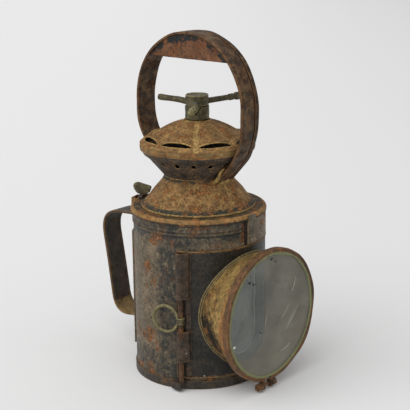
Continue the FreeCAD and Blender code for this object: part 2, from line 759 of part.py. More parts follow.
def make_door():
    """The curved door, the flared lens hood through it, and the glasses at its two ends."""
    panel = sector("panel_blank", DOOR_OUTER, DOOR_INNER, "door_low", "door_high", "door_start", "door_end")
    mouth = facing("hood_mouth", [
        ("0", "lens_back"), ("hood_base_radius + seam", "lens_back"),
        ("hood_base_radius + seam", "hood_base_depth"),
        ("hood_rim_radius + seam", "hood_front"), ("0", "hood_front")])
    cut("door_panel", panel, mouth)
    facing("lens_hood", [
        ("hood_base_radius", "hood_base_depth"), ("hood_rim_radius", "hood_front"),
        ("hood_rim_radius - cone_gauge", "hood_front"), ("hood_base_radius - cone_gauge", "hood_base_depth")])
    collar = facing("bead_cone", [
        ("hood_base_radius + seam", "hood_base_depth"), ("hood_rim_radius + seam", "hood_front"),
        ("hood_rim_radius + hood_bead", "hood_front"),
        ("hood_base_radius + hood_bead", "hood_base_depth - hood_bead"),
        ("hood_base_radius + seam", "hood_base_depth - hood_bead")])
    band = tube("bead_band", f"{DOOR_SEAT} + hood_bead", DOOR_SEAT, "0", "2 * lens_height")
    shared("hood_bead", collar, band)
    make_clamp()
    facing("front_glass", [
        ("0", "hood_front + seam"), ("hood_rim_radius", "hood_front + seam"),
        ("hood_rim_radius", "hood_front + seam + glass_gauge"), ("0", "hood_front + seam + glass_gauge")])
    face = "hood_front + glass_gauge + 2 * seam"
    bore = "hood_rim_radius + clamp_gauge - clamp_lip_width"
    facing("putty_ring", [
        (f"{bore} - putty_width", face), (bore, face), (bore, f"{face} + putty_gauge"),
        (f"{bore} - putty_width", f"{face} + putty_gauge")])
    inside = "hood_base_radius - cone_gauge"
    facing("lens_tube", [
        (inside, "lens_back"), ("hood_base_radius", "lens_back"),
        ("hood_base_radius", "hood_base_depth - seam"),
        (inside, "hood_base_depth - seam")])
    rim = f"{inside} - seam"
    crown = [(f"{share} * ({rim})", f"lens_back + lens_edge + {rise} * lens_crown")
             for share, rise in LENS_CURVE]
    facing("bulls_eye_lens", [("0", "lens_back"), (rim, "lens_back"), (rim, "lens_back + lens_edge"), *crown,
                              ("0", "lens_back + lens_edge + lens_crown")])
    seat = "lens_back + lens_edge + lens_ring_gauge"
    facing("lens_ring", [
        (f"{rim} - lens_ring_width", seat), (rim, seat), (rim, f"{seat} + lens_ring_gauge"),
        (f"{rim} - lens_ring_width", f"{seat} + lens_ring_gauge")])


def make_clamp():
    """The split ring that holds the front glass, with two ears, a screw and its nut."""
    inner = "hood_rim_radius + seam"
    outer = f"{inner} + clamp_gauge"
    lip_back = "hood_front + glass_gauge + 2 * seam"
    front = f"{lip_back} + clamp_lip"
    back = "hood_front - clamp_band + clamp_lip"
    ring = facing("clamp_blank", [
        (inner, back), (outer, back), (outer, front), (f"{outer} - clamp_lip_width", front),
        (f"{outer} - clamp_lip_width", lip_back), (inner, lip_back)])
    depth = f"({front}) - ({back})"
    left = "clamp_split_centre - clamp_split / 2"
    right = "clamp_split_centre + clamp_split / 2"
    height = "lens_height - hood_rim_radius - ear_low"
    split = block("clamp_gap", ("clamp_split", f"2 * ({depth})", "lens_height"),
                  (left, f"-({front}) - play", "0"))
    ears = []
    for name, x in (("left", f"{left} - ear_gauge"), ("right", right)):
        ears.append(block(f"ear_{name}", ("ear_gauge", depth, height), (x, f"-({front})", "ear_low")))
    drill = doc.addObject("Part::Cylinder", "ear_drill")
    bind(drill, Radius="screw_radius + seam", Height="2 * body_radius")
    across = Rotation(Vector(0, 1, 0), 90)
    middle = f"-(({front}) + ({back})) / 2"
    place(drill, "-body_radius", middle, "screw_height", across)
    bore = facing("clamp_bore", [
        ("0", back), (inner, back), (inner, lip_back), (f"{outer} - clamp_lip_width", lip_back),
        (f"{outer} - clamp_lip_width", front), ("0", front)])
    cut("clamp_ring", fused("clamp_solid", cut("clamp_open", ring, split), *ears), drill, bore)
    shank = "clamp_split + 2 * ear_gauge + clamp_nut_length + 2 * seam + screw_tip"
    screw = turned("clamp_screw", [
        ("0", "0"), ("screw_head", "0"), ("screw_head", "screw_head_length"),
        ("screw_radius", "screw_head_length"),
        ("screw_radius", f"screw_head_length + {shank}"), ("0", f"screw_head_length + {shank}")])
    place(screw, f"{right} + ear_gauge + seam + screw_head_length", middle, "screw_height",
          Rotation(Vector(0, 1, 0), -90))
    nut = doc.addObject("Part::Prism", "clamp_nut_blank")
    nut.Polygon = 6
    bind(nut, Circumradius="clamp_nut_radius", Height="clamp_nut_length")
    place(nut, f"{left} - ear_gauge - seam - clamp_nut_length", middle, "screw_height", across)
    thread = doc.addObject("Part::Cylinder", "clamp_nut_thread")
    bind(thread, Radius="screw_radius + seam", Height="2 * body_radius")
    place(thread, "-body_radius", middle, "screw_height", across)
    cut("clamp_nut", nut, thread)


def make_bolt():
    """The door's lift bolt with its finger ring, the two guides on the door and the keeper at the foot."""
    room = rod("guide_room", DOOR_SEAT, "0", "shell_top")
    hole = rod("guide_bore", "bolt_radius + running", "0", "shell_top", BOLT_X, BOLT_Y)
    for name, low, high in (("lower", "guide_low", "slot_low"), ("upper", "slot_high", "guide_high")):
        barrel = rod(f"guide_barrel_{name}", "bolt_radius + guide_wall", low, high, BOLT_X, BOLT_Y)
        flap = sector(f"guide_flap_{name}", f"{DOOR_SEAT} + guide_flap_gauge", DOOR_SEAT, low, high,
                      "bolt_azimuth", "guide_flap_end")
        cut(f"bolt_guide_{name}", fused(f"guide_solid_{name}", barrel, flap), room, hole)
    bolt = turned("lift_bolt", [
        ("0", "bolt_low"), ("bolt_radius - bolt_chamfer", "bolt_low"),
        ("bolt_radius", "bolt_low + 2 * bolt_chamfer"), ("bolt_radius", "bolt_high"), ("0", "bolt_high")])
    place(bolt, BOLT_X, BOLT_Y)
    heading = value("ring_heading")
    across = Vector(math.cos(math.radians(heading)), math.sin(math.radians(heading)), 0)
    ring = doc.addObject("Part::Torus", "ring_hoop")
    bind(ring, Radius1="ring_radius", Radius2="ring_wire")
    place(ring, f"{BOLT_X} + ring_offset * cos(ring_heading)", f"{BOLT_Y} + ring_offset * sin(ring_heading)",
          "ring_height", Rotation(across, 90))
    eye = rod("ring_eye", "bolt_radius + eye_gauge", "ring_height - eye_height / 2",
              "ring_height + eye_height / 2", BOLT_X, BOLT_Y)
    shank = rod("ring_bore", "bolt_radius + seam", "0", "shell_top", BOLT_X, BOLT_Y)
    cut("bolt_ring", fused("ring_solid", ring, eye), shank, rod("ring_room", DOOR_OUTER, "0", "shell_top"))
    half = "bolt_radius + keeper_play + keeper_wall"
    keeper = block("keeper_blank", (f"{half} + bolt_radius", "2 * keeper_reach", "keeper_high - keeper_low"),
                   (f"{BOLT_X} - ({half})", f"{BOLT_Y} - keeper_reach / 2", "keeper_low"))
    mouth = block("keeper_mouth", ("2 * (bolt_radius + keeper_play)", "4 * keeper_reach", "keeper_high"),
                  (f"{BOLT_X} - bolt_radius - keeper_play",
                   f"{BOLT_Y} + bolt_radius + keeper_play - 4 * keeper_reach", "keeper_low - play"))
    cut("bolt_keeper", keeper, mouth, rod("keeper_room", f"{FOOT_RADIUS} + seam", "0", "shell_top"))


def make_selector():
    """Notched sleeve, spindle, spider and filter drum with its two colour glasses."""
    blank = turned("sleeve_blank", [
        ("spindle_radius + seam", SLEEVE_LOW), ("sleeve_radius", SLEEVE_LOW), ("sleeve_radius", SLEEVE_TOP),
        ("sleeve_bore", SLEEVE_TOP), ("sleeve_bore", f"{SLEEVE_LOW} + sleeve_web"),
        ("spindle_radius + seam", f"{SLEEVE_LOW} + sleeve_web")])
    notches = [wedge(f"notch_{turn}", "notch_half_width", "notch_tip", f"{SLEEVE_TOP} - notch_depth",
                     SLEEVE_TOP, "sleeve_bore / 2", "2 * sleeve_radius", f"knob_turn + {turn}")
               for turn in THIRDS]
    cut("selector_sleeve", blank, *notches)
    turned("selector_spindle", [
        ("0", "drum_high - spindle_collar_height"),
        ("spindle_radius + spindle_collar", "drum_high - spindle_collar_height"),
        ("spindle_radius + spindle_collar", "drum_high"), ("spindle_radius", "drum_high"),
        ("spindle_radius", f"{NUT_TOP} + spindle_tip / 2"),
        ("spindle_radius - spindle_tip", f"{NUT_TOP} + spindle_tip"),
        ("0", f"{NUT_TOP} + spindle_tip")])
    spokes = [block(f"spoke_{turn}", ("spider_spoke", "drum_radius + play", "spider_gauge"),
                    ("-spider_spoke / 2", "-drum_radius - play", "drum_high"), f"{turn} + spider_turn")
              for turn in THIRDS]
    trim = rod("spoke_trim", "drum_radius", "drum_high", "drum_high + spider_hub_height")
    hub = rod("spider_boss", "spider_hub", "drum_high", "drum_high + spider_hub_height")
    bore = rod("spider_bore", "spindle_radius + seam", "drum_high - play",
               "drum_high + 2 * spider_hub_height")
    cut("drum_spider", shared("spider_solid", fused("spider_star", hub, *spokes), trim), bore)
    wall = tube("drum_blank", "drum_radius", "drum_radius - drum_gauge", "drum_low", "drum_high")
    windows = [sector(f"window_{turn}", "drum_radius + play", "drum_radius - drum_gauge - play", "window_low",
                      "window_high", f"{turn} - window_half_angle", f"{turn} + window_half_angle")
               for turn in THIRDS]
    cut("filter_drum", wall, *windows)
    outer = "drum_radius - drum_gauge - seam"
    half = "window_half_angle + pane_lap_angle"
    for name, turn in (("red_glass", 120), ("green_glass", 240)):
        sector(name, outer, f"{outer} - pane_gauge", "window_low - pane_lap", "window_high + pane_lap",
               f"{turn} - ({half})", f"{turn} + {half}")
    nut = doc.addObject("Part::Prism", "nut_blank")
    nut.Polygon = 6
    bind(nut, Circumradius="nut_radius", Height="nut_height")
    place(nut, z=NUT_LOW)
    cut("spindle_nut", nut, rod("nut_thread", "spindle_radius + seam", "0", KNOB_TOP))


def make_knob():
    """Hub with a toothed skirt and three arms, pressed down by a spring under the spindle nut."""
    stem = "sleeve_bore - play"
    well = f"{stem} - knob_stem_gauge"
    floor_low = f"{SLEEVE_LOW} + sleeve_web + play"
    floor_high = f"{floor_low} + knob_floor"
    hub = turned("knob_blank", [
        ("spindle_radius + running", floor_low), (stem, floor_low), (stem, KNOB_LOW),
        ("knob_radius", KNOB_LOW),
        ("knob_radius", f"{KNOB_TOP} - arm_round"), ("knob_radius - arm_round", KNOB_TOP), (well, KNOB_TOP),
        (well, floor_high), ("spindle_radius + running", floor_high)])
    teeth = []
    for turn in THIRDS:
        teeth.append(wedge(f"tooth_{turn}", "notch_half_width - tooth_gap", "notch_tip",
                           f"{SLEEVE_TOP} - notch_depth + 2 * tooth_gap", f"{KNOB_LOW} + play",
                           "sleeve_bore + play",
                           "knob_radius - play", f"knob_turn + {turn}"))
    fused("knob_hub", hub, *teeth)
    base = "knob_radius + 2 * seam"
    plain = [("0", base), ("arm_radius", base), ("arm_radius", "arm_reach - arm_round"),
             ("arm_radius - arm_round", "arm_reach"), ("0", "arm_reach")]
    thick = "arm_radius + arm_collar"
    inset = "arm_reach - arm_collar_length"
    stepped = [("0", base), ("arm_radius", base), ("arm_radius", inset), (thick, inset),
               (thick, f"{inset} + arm_collar_length / 2 - arm_groove / 2"),
               ("arm_radius", f"{inset} + arm_collar_length / 2 - arm_groove / 2"),
               ("arm_radius", f"{inset} + arm_collar_length / 2 + arm_groove / 2"),
               (thick, f"{inset} + arm_collar_length / 2 + arm_groove / 2"), (thick, "arm_reach - arm_round"),
               (f"{thick} - arm_round", "arm_reach"), ("0", "arm_reach")]
    kinds = (("front_arm", "arm_droop", plain), ("stepped_arm", "arm_lift", stepped),
             ("rear_arm", "arm_droop", plain))
    for turn, (name, tilt, outline) in zip(THIRDS, kinds):
        arm = turned(name, outline)
        place(arm, z=f"{KNOB_LOW} + arm_height", rotation=about_z(f"knob_turn + {turn}") * forward(tilt))
    tube("knob_spring", "spring_radius + spring_wire / 2", "spring_radius - spring_wire / 2",
         f"{floor_high} + seam",
         f"{NUT_LOW} - seam")


def spade_wedge(label, half_top, half_tip, low, half_gauge):
    """A V that opens upwards to the catch's top, standing edge on to the body's axis over the thumb bar."""
    piece = doc.addObject("Part::Wedge", label)
    bind(piece, Xmin=f"-({half_tip})", Xmax=half_tip, X2min=f"-({half_top})", X2max=half_top)
    bind(piece, Ymin=low, Ymax="thumb_top", Zmin=f"-({half_gauge})", Zmax=half_gauge,
         Z2min=f"-({half_gauge})",
         Z2max=half_gauge)
    reach = "thumb_bar_inner + thumb_bar_gauge / 2"
    place(piece, f"({reach}) * sin(thumb_azimuth)", f"-({reach}) * cos(thumb_azimuth)",
          rotation=about_z("thumb_azimuth + 90") * forward())
    return piece


def make_thumb_catch():
    """The sliding thumb catch: a spade on a bar inside the shell wall, and its guide on the flange."""
    middle = "-thumb_bar_inner - thumb_bar_gauge"
    bar_length = f"{FLANGE_TOP} + guide_box_height / 2 - thumb_toe_low"
    bar = block("thumb_bar", ("thumb_bar_width", "thumb_bar_gauge", bar_length),
                ("-thumb_bar_width / 2", middle, "thumb_toe_low"), "thumb_azimuth")
    neck = block("thumb_neck", ("thumb_neck_width", "thumb_bar_gauge", f"thumb_neck_top - ({FLANGE_TOP})"),
                 ("-thumb_neck_width / 2", middle, FLANGE_TOP), "thumb_azimuth")
    spade = spade_wedge("thumb_spade", "thumb_width / 2", "thumb_neck_width / 2",
                        "thumb_neck_top - thumb_dip",
                        "thumb_bar_gauge / 2")
    dip = spade_wedge("thumb_fork", "thumb_width / 4", "notch_tip", "thumb_top - thumb_dip",
                      "thumb_bar_gauge")
    toe_length = "thumb_bar_inner + thumb_bar_gauge - thumb_toe_inner"
    toe = block("thumb_toe", ("thumb_neck_width", toe_length, "thumb_toe_height"),
                ("-thumb_neck_width / 2", middle, "thumb_toe_low"), "thumb_azimuth")
    cut("thumb_catch", fused("thumb_solid", bar, neck, spade, toe), dip)
    box = block("guide_box", ("thumb_bar_width + 2 * (play + guide_box_wall)",
                              "thumb_bar_gauge + 2 * (play + guide_box_wall)", "guide_box_height"),
                ("-thumb_bar_width / 2 - play - guide_box_wall", f"{middle} - play - guide_box_wall",
                 FLANGE_TOP),
                "thumb_azimuth")
    cut("thumb_guide", box, thumb_slot("guide_slot", FLANGE_TOP, f"{FLANGE_TOP} + guide_box_height"))
    wall = f"{SEAT_RADIUS} + rim_gauge + pocket_depth"
    low = f"{FLANGE_TOP} - pocket_height"
    pocket = block("pocket_blank", ("pocket_width", "pocket_width", "pocket_height"),
                   ("-pocket_width / 2", f"-({wall})", low), "thumb_azimuth")
    hollow = block("pocket_hollow", ("pocket_width - 2 * pocket_gauge", "pocket_width", "pocket_height"),
                   ("-pocket_width / 2 + pocket_gauge", f"-({wall}) + pocket_gauge", f"{low} + pocket_gauge"),
                   "thumb_azimuth")
    rim = rod("pocket_rim", f"{SEAT_RADIUS} + rim_gauge + seam", RIM_LOW, "thumb_top")
    shell = rod("pocket_shell", f"{SEAT_RADIUS} + bead_rise", "0", RIM_LOW)
    cut("catch_pocket", pocket, hollow, rim, shell)


def make_candle():
    """Tray with a pedestal on the base stud, candle in its socket, and the reflector on a post."""
    low = "floor_gauge + tray_lift"
    floor_top = f"{low} + tray_gauge"
    bore = "stud_radius + running"
    tray = turned("tray_blank", [
        (bore, low), ("tray_radius", low), ("tray_radius", "tray_rim"), ("tray_radius - wall", "tray_rim"),
        ("tray_radius - wall", floor_top), (f"{bore} + pedestal_gauge", floor_top),
        (f"{bore} + pedestal_gauge", "pedestal_top"), ("0", "pedestal_top"), ("0", "stud_top + play"),
        (bore, "stud_top + play")])
    notch = block("tray_notch", ("thumb_neck_width + 2 * tray_notch_play", "tray_radius", "tray_rim"),
                  ("-thumb_neck_width / 2 - tray_notch_play",
                   "-thumb_toe_inner + tray_notch_play - tray_radius", "0"),
                  "thumb_azimuth")
    cut("candle_tray", tray, notch)
    turned("candle_socket", [
        ("0", "pedestal_top"), ("candle_radius + seam + socket_gauge", "pedestal_top"),
        ("candle_radius + seam + socket_gauge", "pedestal_top + socket_height"),
        ("candle_radius + seam", "pedestal_top + socket_height"),
        ("candle_radius + seam", "pedestal_top + socket_gauge"), ("0", "pedestal_top + socket_gauge")])
    turned("candle", [
        ("0", "pedestal_top + socket_gauge"), ("candle_radius", "pedestal_top + socket_gauge"),
        ("candle_radius", "candle_top - candle_dome"), ("candle_radius - candle_dome", "candle_top"),
        ("0", "candle_top")])
    rod("wick", "wick_radius", "candle_top", "candle_top + wick_length")
    curve = [(f"{share} * reflector_radius", f"-{depth} * reflector_depth") for share, depth in DISH_CURVE]
    bowl = [("0", "-reflector_depth"), *curve, ("reflector_radius", "0")]
    inside = [(radius, f"{depth} + reflector_gauge") for radius, depth in reversed(bowl)]
    dish = turned("reflector", bowl + inside)
    place(dish, y="reflector_back", z="lens_height", rotation=forward())
    block("reflector_post", ("post_width", "post_gauge", f"post_top - ({floor_top})"),
          ("-post_width / 2", "reflector_back + reflector_depth + seam", floor_top))


NODES = [
    "base_plate", "tray_stud", "body_shell", "back_plate", "hinge_plate", "top_flange", "roof_cone",
    "cowl_bowl", "cowl_rim", "cowl_cap", "cap_bush", "spindle_bridge", "hoop_strap", "hoop_solder",
    "grip_sides", "grip_floor", "rear_handle", "handle_rivets", "hinge_leaf", "hinge_pin",
    "bolt_keeper", "thumb_guide", "catch_pocket", "selector_sleeve", "selector_spindle", "drum_spider",
    "filter_drum", "red_glass", "green_glass", "spindle_nut", "knob_hub", "front_arm", "stepped_arm",
    "rear_arm", "knob_spring", "door_panel", "door_leaf", "lens_hood", "hood_bead", "clamp_ring",
    "clamp_screw", "clamp_nut", "front_glass", "putty_ring", "lens_tube", "bulls_eye_lens", "lens_ring",
    "bolt_guide_lower", "bolt_guide_upper", "lift_bolt", "bolt_ring", "thumb_catch", "candle_tray",
    "candle_socket", "candle", "wick", "reflector", "reflector_post",
]


def check_and_write():
    """Stop on any failed object or faulty solid, then write each sub-part to its own file."""
    doc.recompute()
    for piece in doc.Objects:
        if "Invalid" in piece.State or "Error" in piece.State:
            raise RuntimeError(f"{piece.Label} did not build")
    pieces = {piece.Label: piece for piece in doc.Objects}
    for node in NODES:
        shape = pieces[node].Shape
        if shape.isNull() or not shape.isValid() or not shape.Solids:
            raise RuntimeError(f"{node} has no valid solid")
    os.makedirs("parts", exist_ok=True)
    for node in NODES:
        pieces[node].Shape.exportStep(f"parts/{node}.step")
    print(len(NODES), "nodes written")


make_body()
make_roof()
make_hoop()
make_handle()
make_hinge()
make_door()
make_bolt()
make_selector()
make_knob()
make_thumb_catch()
make_candle()
check_and_write()
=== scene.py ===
"""Looks of a rusted tin hand signal lantern with brass fittings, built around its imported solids.

Shapes are worked out in millimetres in the lantern's own frame: +Z up, origin at the middle of the base, the
lens facing -Y. An azimuth of 0 degrees points along -Y and grows towards +X.
"""
import logging
import math
from dataclasses import dataclass, field
from enum import Enum
from typing import Any, Optional, Sequence

import bmesh
import bpy
import numpy as np
from mathutils import Matrix, Vector


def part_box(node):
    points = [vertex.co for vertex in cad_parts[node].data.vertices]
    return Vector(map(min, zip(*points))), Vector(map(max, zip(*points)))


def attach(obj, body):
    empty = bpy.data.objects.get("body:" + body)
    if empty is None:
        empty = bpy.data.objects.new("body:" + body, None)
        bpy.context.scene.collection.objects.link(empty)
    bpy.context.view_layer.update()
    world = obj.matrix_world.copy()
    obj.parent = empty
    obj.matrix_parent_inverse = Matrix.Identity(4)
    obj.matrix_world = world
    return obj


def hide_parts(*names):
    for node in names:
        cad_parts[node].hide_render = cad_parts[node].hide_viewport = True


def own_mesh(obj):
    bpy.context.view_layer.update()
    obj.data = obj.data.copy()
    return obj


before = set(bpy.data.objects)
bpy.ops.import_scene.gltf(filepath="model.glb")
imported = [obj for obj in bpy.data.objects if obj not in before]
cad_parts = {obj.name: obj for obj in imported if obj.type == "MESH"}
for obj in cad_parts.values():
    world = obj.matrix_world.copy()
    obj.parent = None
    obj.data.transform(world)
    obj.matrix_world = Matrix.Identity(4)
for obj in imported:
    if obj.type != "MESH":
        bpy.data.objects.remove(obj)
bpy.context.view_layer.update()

LOG = logging.getLogger("lantern")
MM = 0.001
MERGE = 1e-6
FULL_TURN = 360.0
THIRD_TURN = 120.0
# Flat kept beside an eased corner, core radius of a turned profile, and gap at a seated face.
FLANK = 0.8
CORE = 0.2
FIT = 0.05
X_AXIS = np.array([1.0, 0.0, 0.0])
Y_AXIS = np.array([0.0, 1.0, 0.0])
Z_AXIS = np.array([0.0, 0.0, 1.0])
ORIGIN = np.zeros(3)

Colour = tuple[float, float, float]
Points = np.ndarray
Socket = bpy.types.NodeSocket
Tree = bpy.types.NodeTree
Piece = bpy.types.Object


def tint(red: int, green: int, blue: int) -> Colour:
    """A colour given as it looks on a screen, 0 to 255 a channel, as linear light."""
    shares = np.array([red, green, blue]) / 255.0
    return tuple(np.where(shares <= 0.04045, shares / 12.92, ((shares + 0.055) / 1.055) ** 2.4).tolist())


def heights(node: str) -> tuple[float, float]:
    """Lowest and highest point of a solid at rest, in millimetres."""
    low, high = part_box(node)
    return low[2] / MM, high[2] / MM


LENS_HEIGHT = sum(heights("front_glass")) / 2


class Cap(Enum):
    """How the two ends of a carried profile are closed."""

    OPEN = "open"
    FAN = "fan"
    STRIP = "strip"


class Graph:
    """A shader tree that nodes are added to by name."""

    def __init__(self, tree: Tree) -> None:
        """Keep the tree, emptied of its first nodes."""
        self.tree = tree
        tree.nodes.clear()

    def add(self, kind: str, inputs: Optional[dict] = None, **settings: Any) -> bpy.types.Node:
        """Add one node.

        Args:
            kind: Blender's name of the node's type.
            inputs: Socket name or number to a value, or to an output socket that is linked to it.
            settings: Properties of the node.

        Returns:
            The new node.
        """
        node = self.tree.nodes.new(kind)
        for name, setting in settings.items():
            setattr(node, name, setting)
        for name, given in (inputs or {}).items():
            self.feed(node.inputs[name], given)
        return node

    def feed(self, socket: Socket, given: Any) -> None:
        """Link an output to a socket, or set the socket's own value.

        Args:
            socket: The input socket.
            given: An output socket, a colour or a number.
        """
        if isinstance(given, Socket):
            self.tree.links.new(given, socket)
        elif isinstance(given, tuple) and socket.type == "RGBA":
            socket.default_value = (*given, 1.0)
        else:
            socket.default_value = given

    def blend(self, share: Any, first: Any, second: Any, mode: str = "MIX") -> Socket:
        """Mix two colours by a share and return the mixed colour."""
        node = self.add("ShaderNodeMix", {0: share, 6: first, 7: second}, data_type="RGBA", blend_type=mode)
        return node.outputs[2]

    def between(self, share: Any, first: Any, second: Any) -> Socket:
        """Mix two numbers by a share and return the mixed number."""
        return self.add("ShaderNodeMix", {0: share, 2: first, 3: second}, data_type="FLOAT").outputs[0]

    def maths(self, operation: str, first: Any, second: Any) -> Socket:
        """Work out one operation on two numbers."""
        return self.add("ShaderNodeMath", {0: first, 1: second}, operation=operation).outputs[0]

    def ramp(self, number: Any, low: Any, high: Any) -> Socket:
        """A smooth step from 0 at low to 1 at high."""
        inputs = {"Value": number, "From Min": low, "From Max": high}
        return self.add("ShaderNodeMapRange", inputs, interpolation_type="SMOOTHSTEP").outputs[0]

    def noise(self, where: Any, scale: Any, detail: float = 5.0, rough: float = 0.6) -> Socket:
        """Cloudy noise around a half."""
        inputs = {"Vector": where, "Scale": scale, "Detail": detail, "Roughness": rough}
        return self.add("ShaderNodeTexNoise", inputs).outputs[0]


class Effect(Enum):
    """Effects that several finishes share, each a node group built once."""

    PATCHES = "patches"
    RAGGED = "ragged_edge"
    MOTTLE = "mottle"
    FLECKS = "flecks"

    def group(self) -> Tree:
        """The effect's node group, built at its first use.

        Returns:
            The node group.
        """
        found = bpy.data.node_groups.get(self.value)
        if found:
            return found
        tree = bpy.data.node_groups.new(self.value, "ShaderNodeTree")
        getattr(self, "_" + self.value)(tree)
        return tree

    @staticmethod
    def _open(tree: Tree, numbers: Sequence[str], colour: bool, out: Sequence[str]) -> tuple:
        """Give a group its sockets.

        Args:
            tree: The group.
            numbers: Names of its number inputs, after Vector.
            colour: Whether it takes and puts out a colour too.
            out: Names of its number outputs.

        Returns:
            The graph, the group's input node and its output node.
        """
        sockets = tree.interface
        sockets.new_socket("Vector", in_out="INPUT", socket_type="NodeSocketVector")
        for name in numbers:
            sockets.new_socket(name, in_out="INPUT", socket_type="NodeSocketFloat")
        if colour:
            sockets.new_socket("Color", in_out="INPUT", socket_type="NodeSocketColor")
            sockets.new_socket("Color", in_out="OUTPUT", socket_type="NodeSocketColor")
        for name in out:
            sockets.new_socket(name, in_out="OUTPUT", socket_type="NodeSocketFloat")
        graph = Graph(tree)
        return graph, graph.add("NodeGroupInput").outputs, graph.add("NodeGroupOutput").inputs

    @staticmethod
    def _patches(tree: Tree) -> None:
        """Blotches that cover a share of the surface: noise over a level that falls as the cover grows.

        Args:
            tree: The new group.
        """
        graph, given, out = Effect._open(tree, ("Scale", "Cover", "Softness"), False, ("Mask",))
        cloud = graph.noise(given["Vector"], given["Scale"], 7.0, 0.62)
        level = graph.between(given["Cover"], 0.72, 0.28)
        low, high = (graph.maths(operation, level, given["Softness"]) for operation in ("SUBTRACT", "ADD"))
        graph.feed(out["Mask"], graph.ramp(cloud, low, high))

    @staticmethod
    def _ragged_edge(tree: Tree) -> None:
        """A soft mask made ragged: the mask plus noise about nought, stepped at a half.

        Args:
            tree: The new group.
        """
        graph, given, out = Effect._open(tree, ("Value", "Scale", "Strength"), False, ("Mask",))
        cloud = graph.maths("SUBTRACT", graph.noise(given["Vector"], given["Scale"], 6.0, 0.65), 0.5)
        total = graph.maths("ADD", given["Value"], graph.maths("MULTIPLY", cloud, given["Strength"]))
        graph.feed(out["Mask"], graph.ramp(total, 0.3, 0.7))

    @staticmethod
    def _mottle(tree: Tree) -> None:
        """Fine grain: a colour made lighter and darker by noise about one.

        Args:
            tree: The new group.
        """
        graph, given, out = Effect._open(tree, ("Scale", "Depth"), True, ("Grain",))
        grain = graph.noise(given["Vector"], given["Scale"], 6.0, 0.75)
        swing = graph.maths("MULTIPLY", graph.maths("SUBTRACT", grain, 0.5), given["Depth"])
        factor = graph.maths("MAXIMUM", graph.maths("ADD", swing, 1.0), 0.15)
        scaled = graph.add("ShaderNodeVectorMath", {0: given["Color"], "Scale": factor}, operation="SCALE")
        graph.feed(out["Color"], scaled.outputs[0])
        graph.feed(out["Grain"], grain)

    @staticmethod
    def _flecks(tree: Tree) -> None:
        """Scattered chips: cells near enough to their own middle, in a share of the cells.

        Args:
            tree: The new group.
        """
        graph, given, out = Effect._open(tree, ("Scale", "Size", "Share"), False, ("Mask",))
        finer = graph.maths("MULTIPLY", given["Scale"], 2.5)
        bent = graph.add("ShaderNodeTexNoise", {"Vector": given["Vector"], "Scale": finer}).outputs["Color"]
        shift = graph.add("ShaderNodeVectorMath", {0: bent, "Scale": 0.002}, operation="SCALE").outputs[0]
        where = graph.add("ShaderNodeVectorMath", {0: given["Vector"], 1: shift}).outputs[0]
        cells = graph.add("ShaderNodeTexVoronoi", {"Vector": where, "Scale": given["Scale"]})
        core = graph.maths("MULTIPLY", given["Size"], 0.6)
        near = graph.ramp(cells.outputs["Distance"], given["Size"], core)
        lottery = graph.add("ShaderNodeSeparateColor", {0: cells.outputs["Color"]}).outputs[0]
        chosen = graph.maths("LESS_THAN", lottery, given["Share"])
        graph.feed(out["Mask"], graph.maths("MULTIPLY", near, chosen))

    def use(self, graph: Graph, where: Socket, **inputs: Any) -> bpy.types.bpy_prop_collection:
        """Place the effect in a material, its sockets given by name, and return its outputs."""
        return graph.add("ShaderNodeGroup", {"Vector": where, **inputs}, node_tree=self.group()).outputs


@dataclass(frozen=True)
class Finish:
    """A surface finish that makes its material once and gives it to pieces."""

    name: str
    slot: str

    def material(self) -> bpy.types.Material:
        """The finish's material, built at its first use.

        Returns:
            The material.
        """
        label = f"{self.name}_finish"
        found = bpy.data.materials.get(label)
        if found:
            return found
        made = bpy.data.materials.new(label)
        made.use_nodes = True
        graph = Graph(made.node_tree)
        shader = graph.add("ShaderNodeBsdfPrincipled")
        graph.add("ShaderNodeOutputMaterial", {"Surface": shader.outputs[0]})
        where = graph.add("ShaderNodeTexCoord").outputs["Object"]
        self.shade(graph, shader, where)
        return made

    def shade(self, graph: Graph, shader: bpy.types.Node, where: Socket) -> None:
        """Link the finish's nodes to its shader."""
        raise NotImplementedError

    def dress(self, *pieces: Piece) -> None:
        """Give pieces this finish.

        Args:
            pieces: Pieces, or solids that keep their own shape.
        """
        for piece in pieces:
            if piece.material_slots:
                for held in piece.material_slots:
                    held.material = self.material()
            else:
                piece.data.materials.append(self.material())


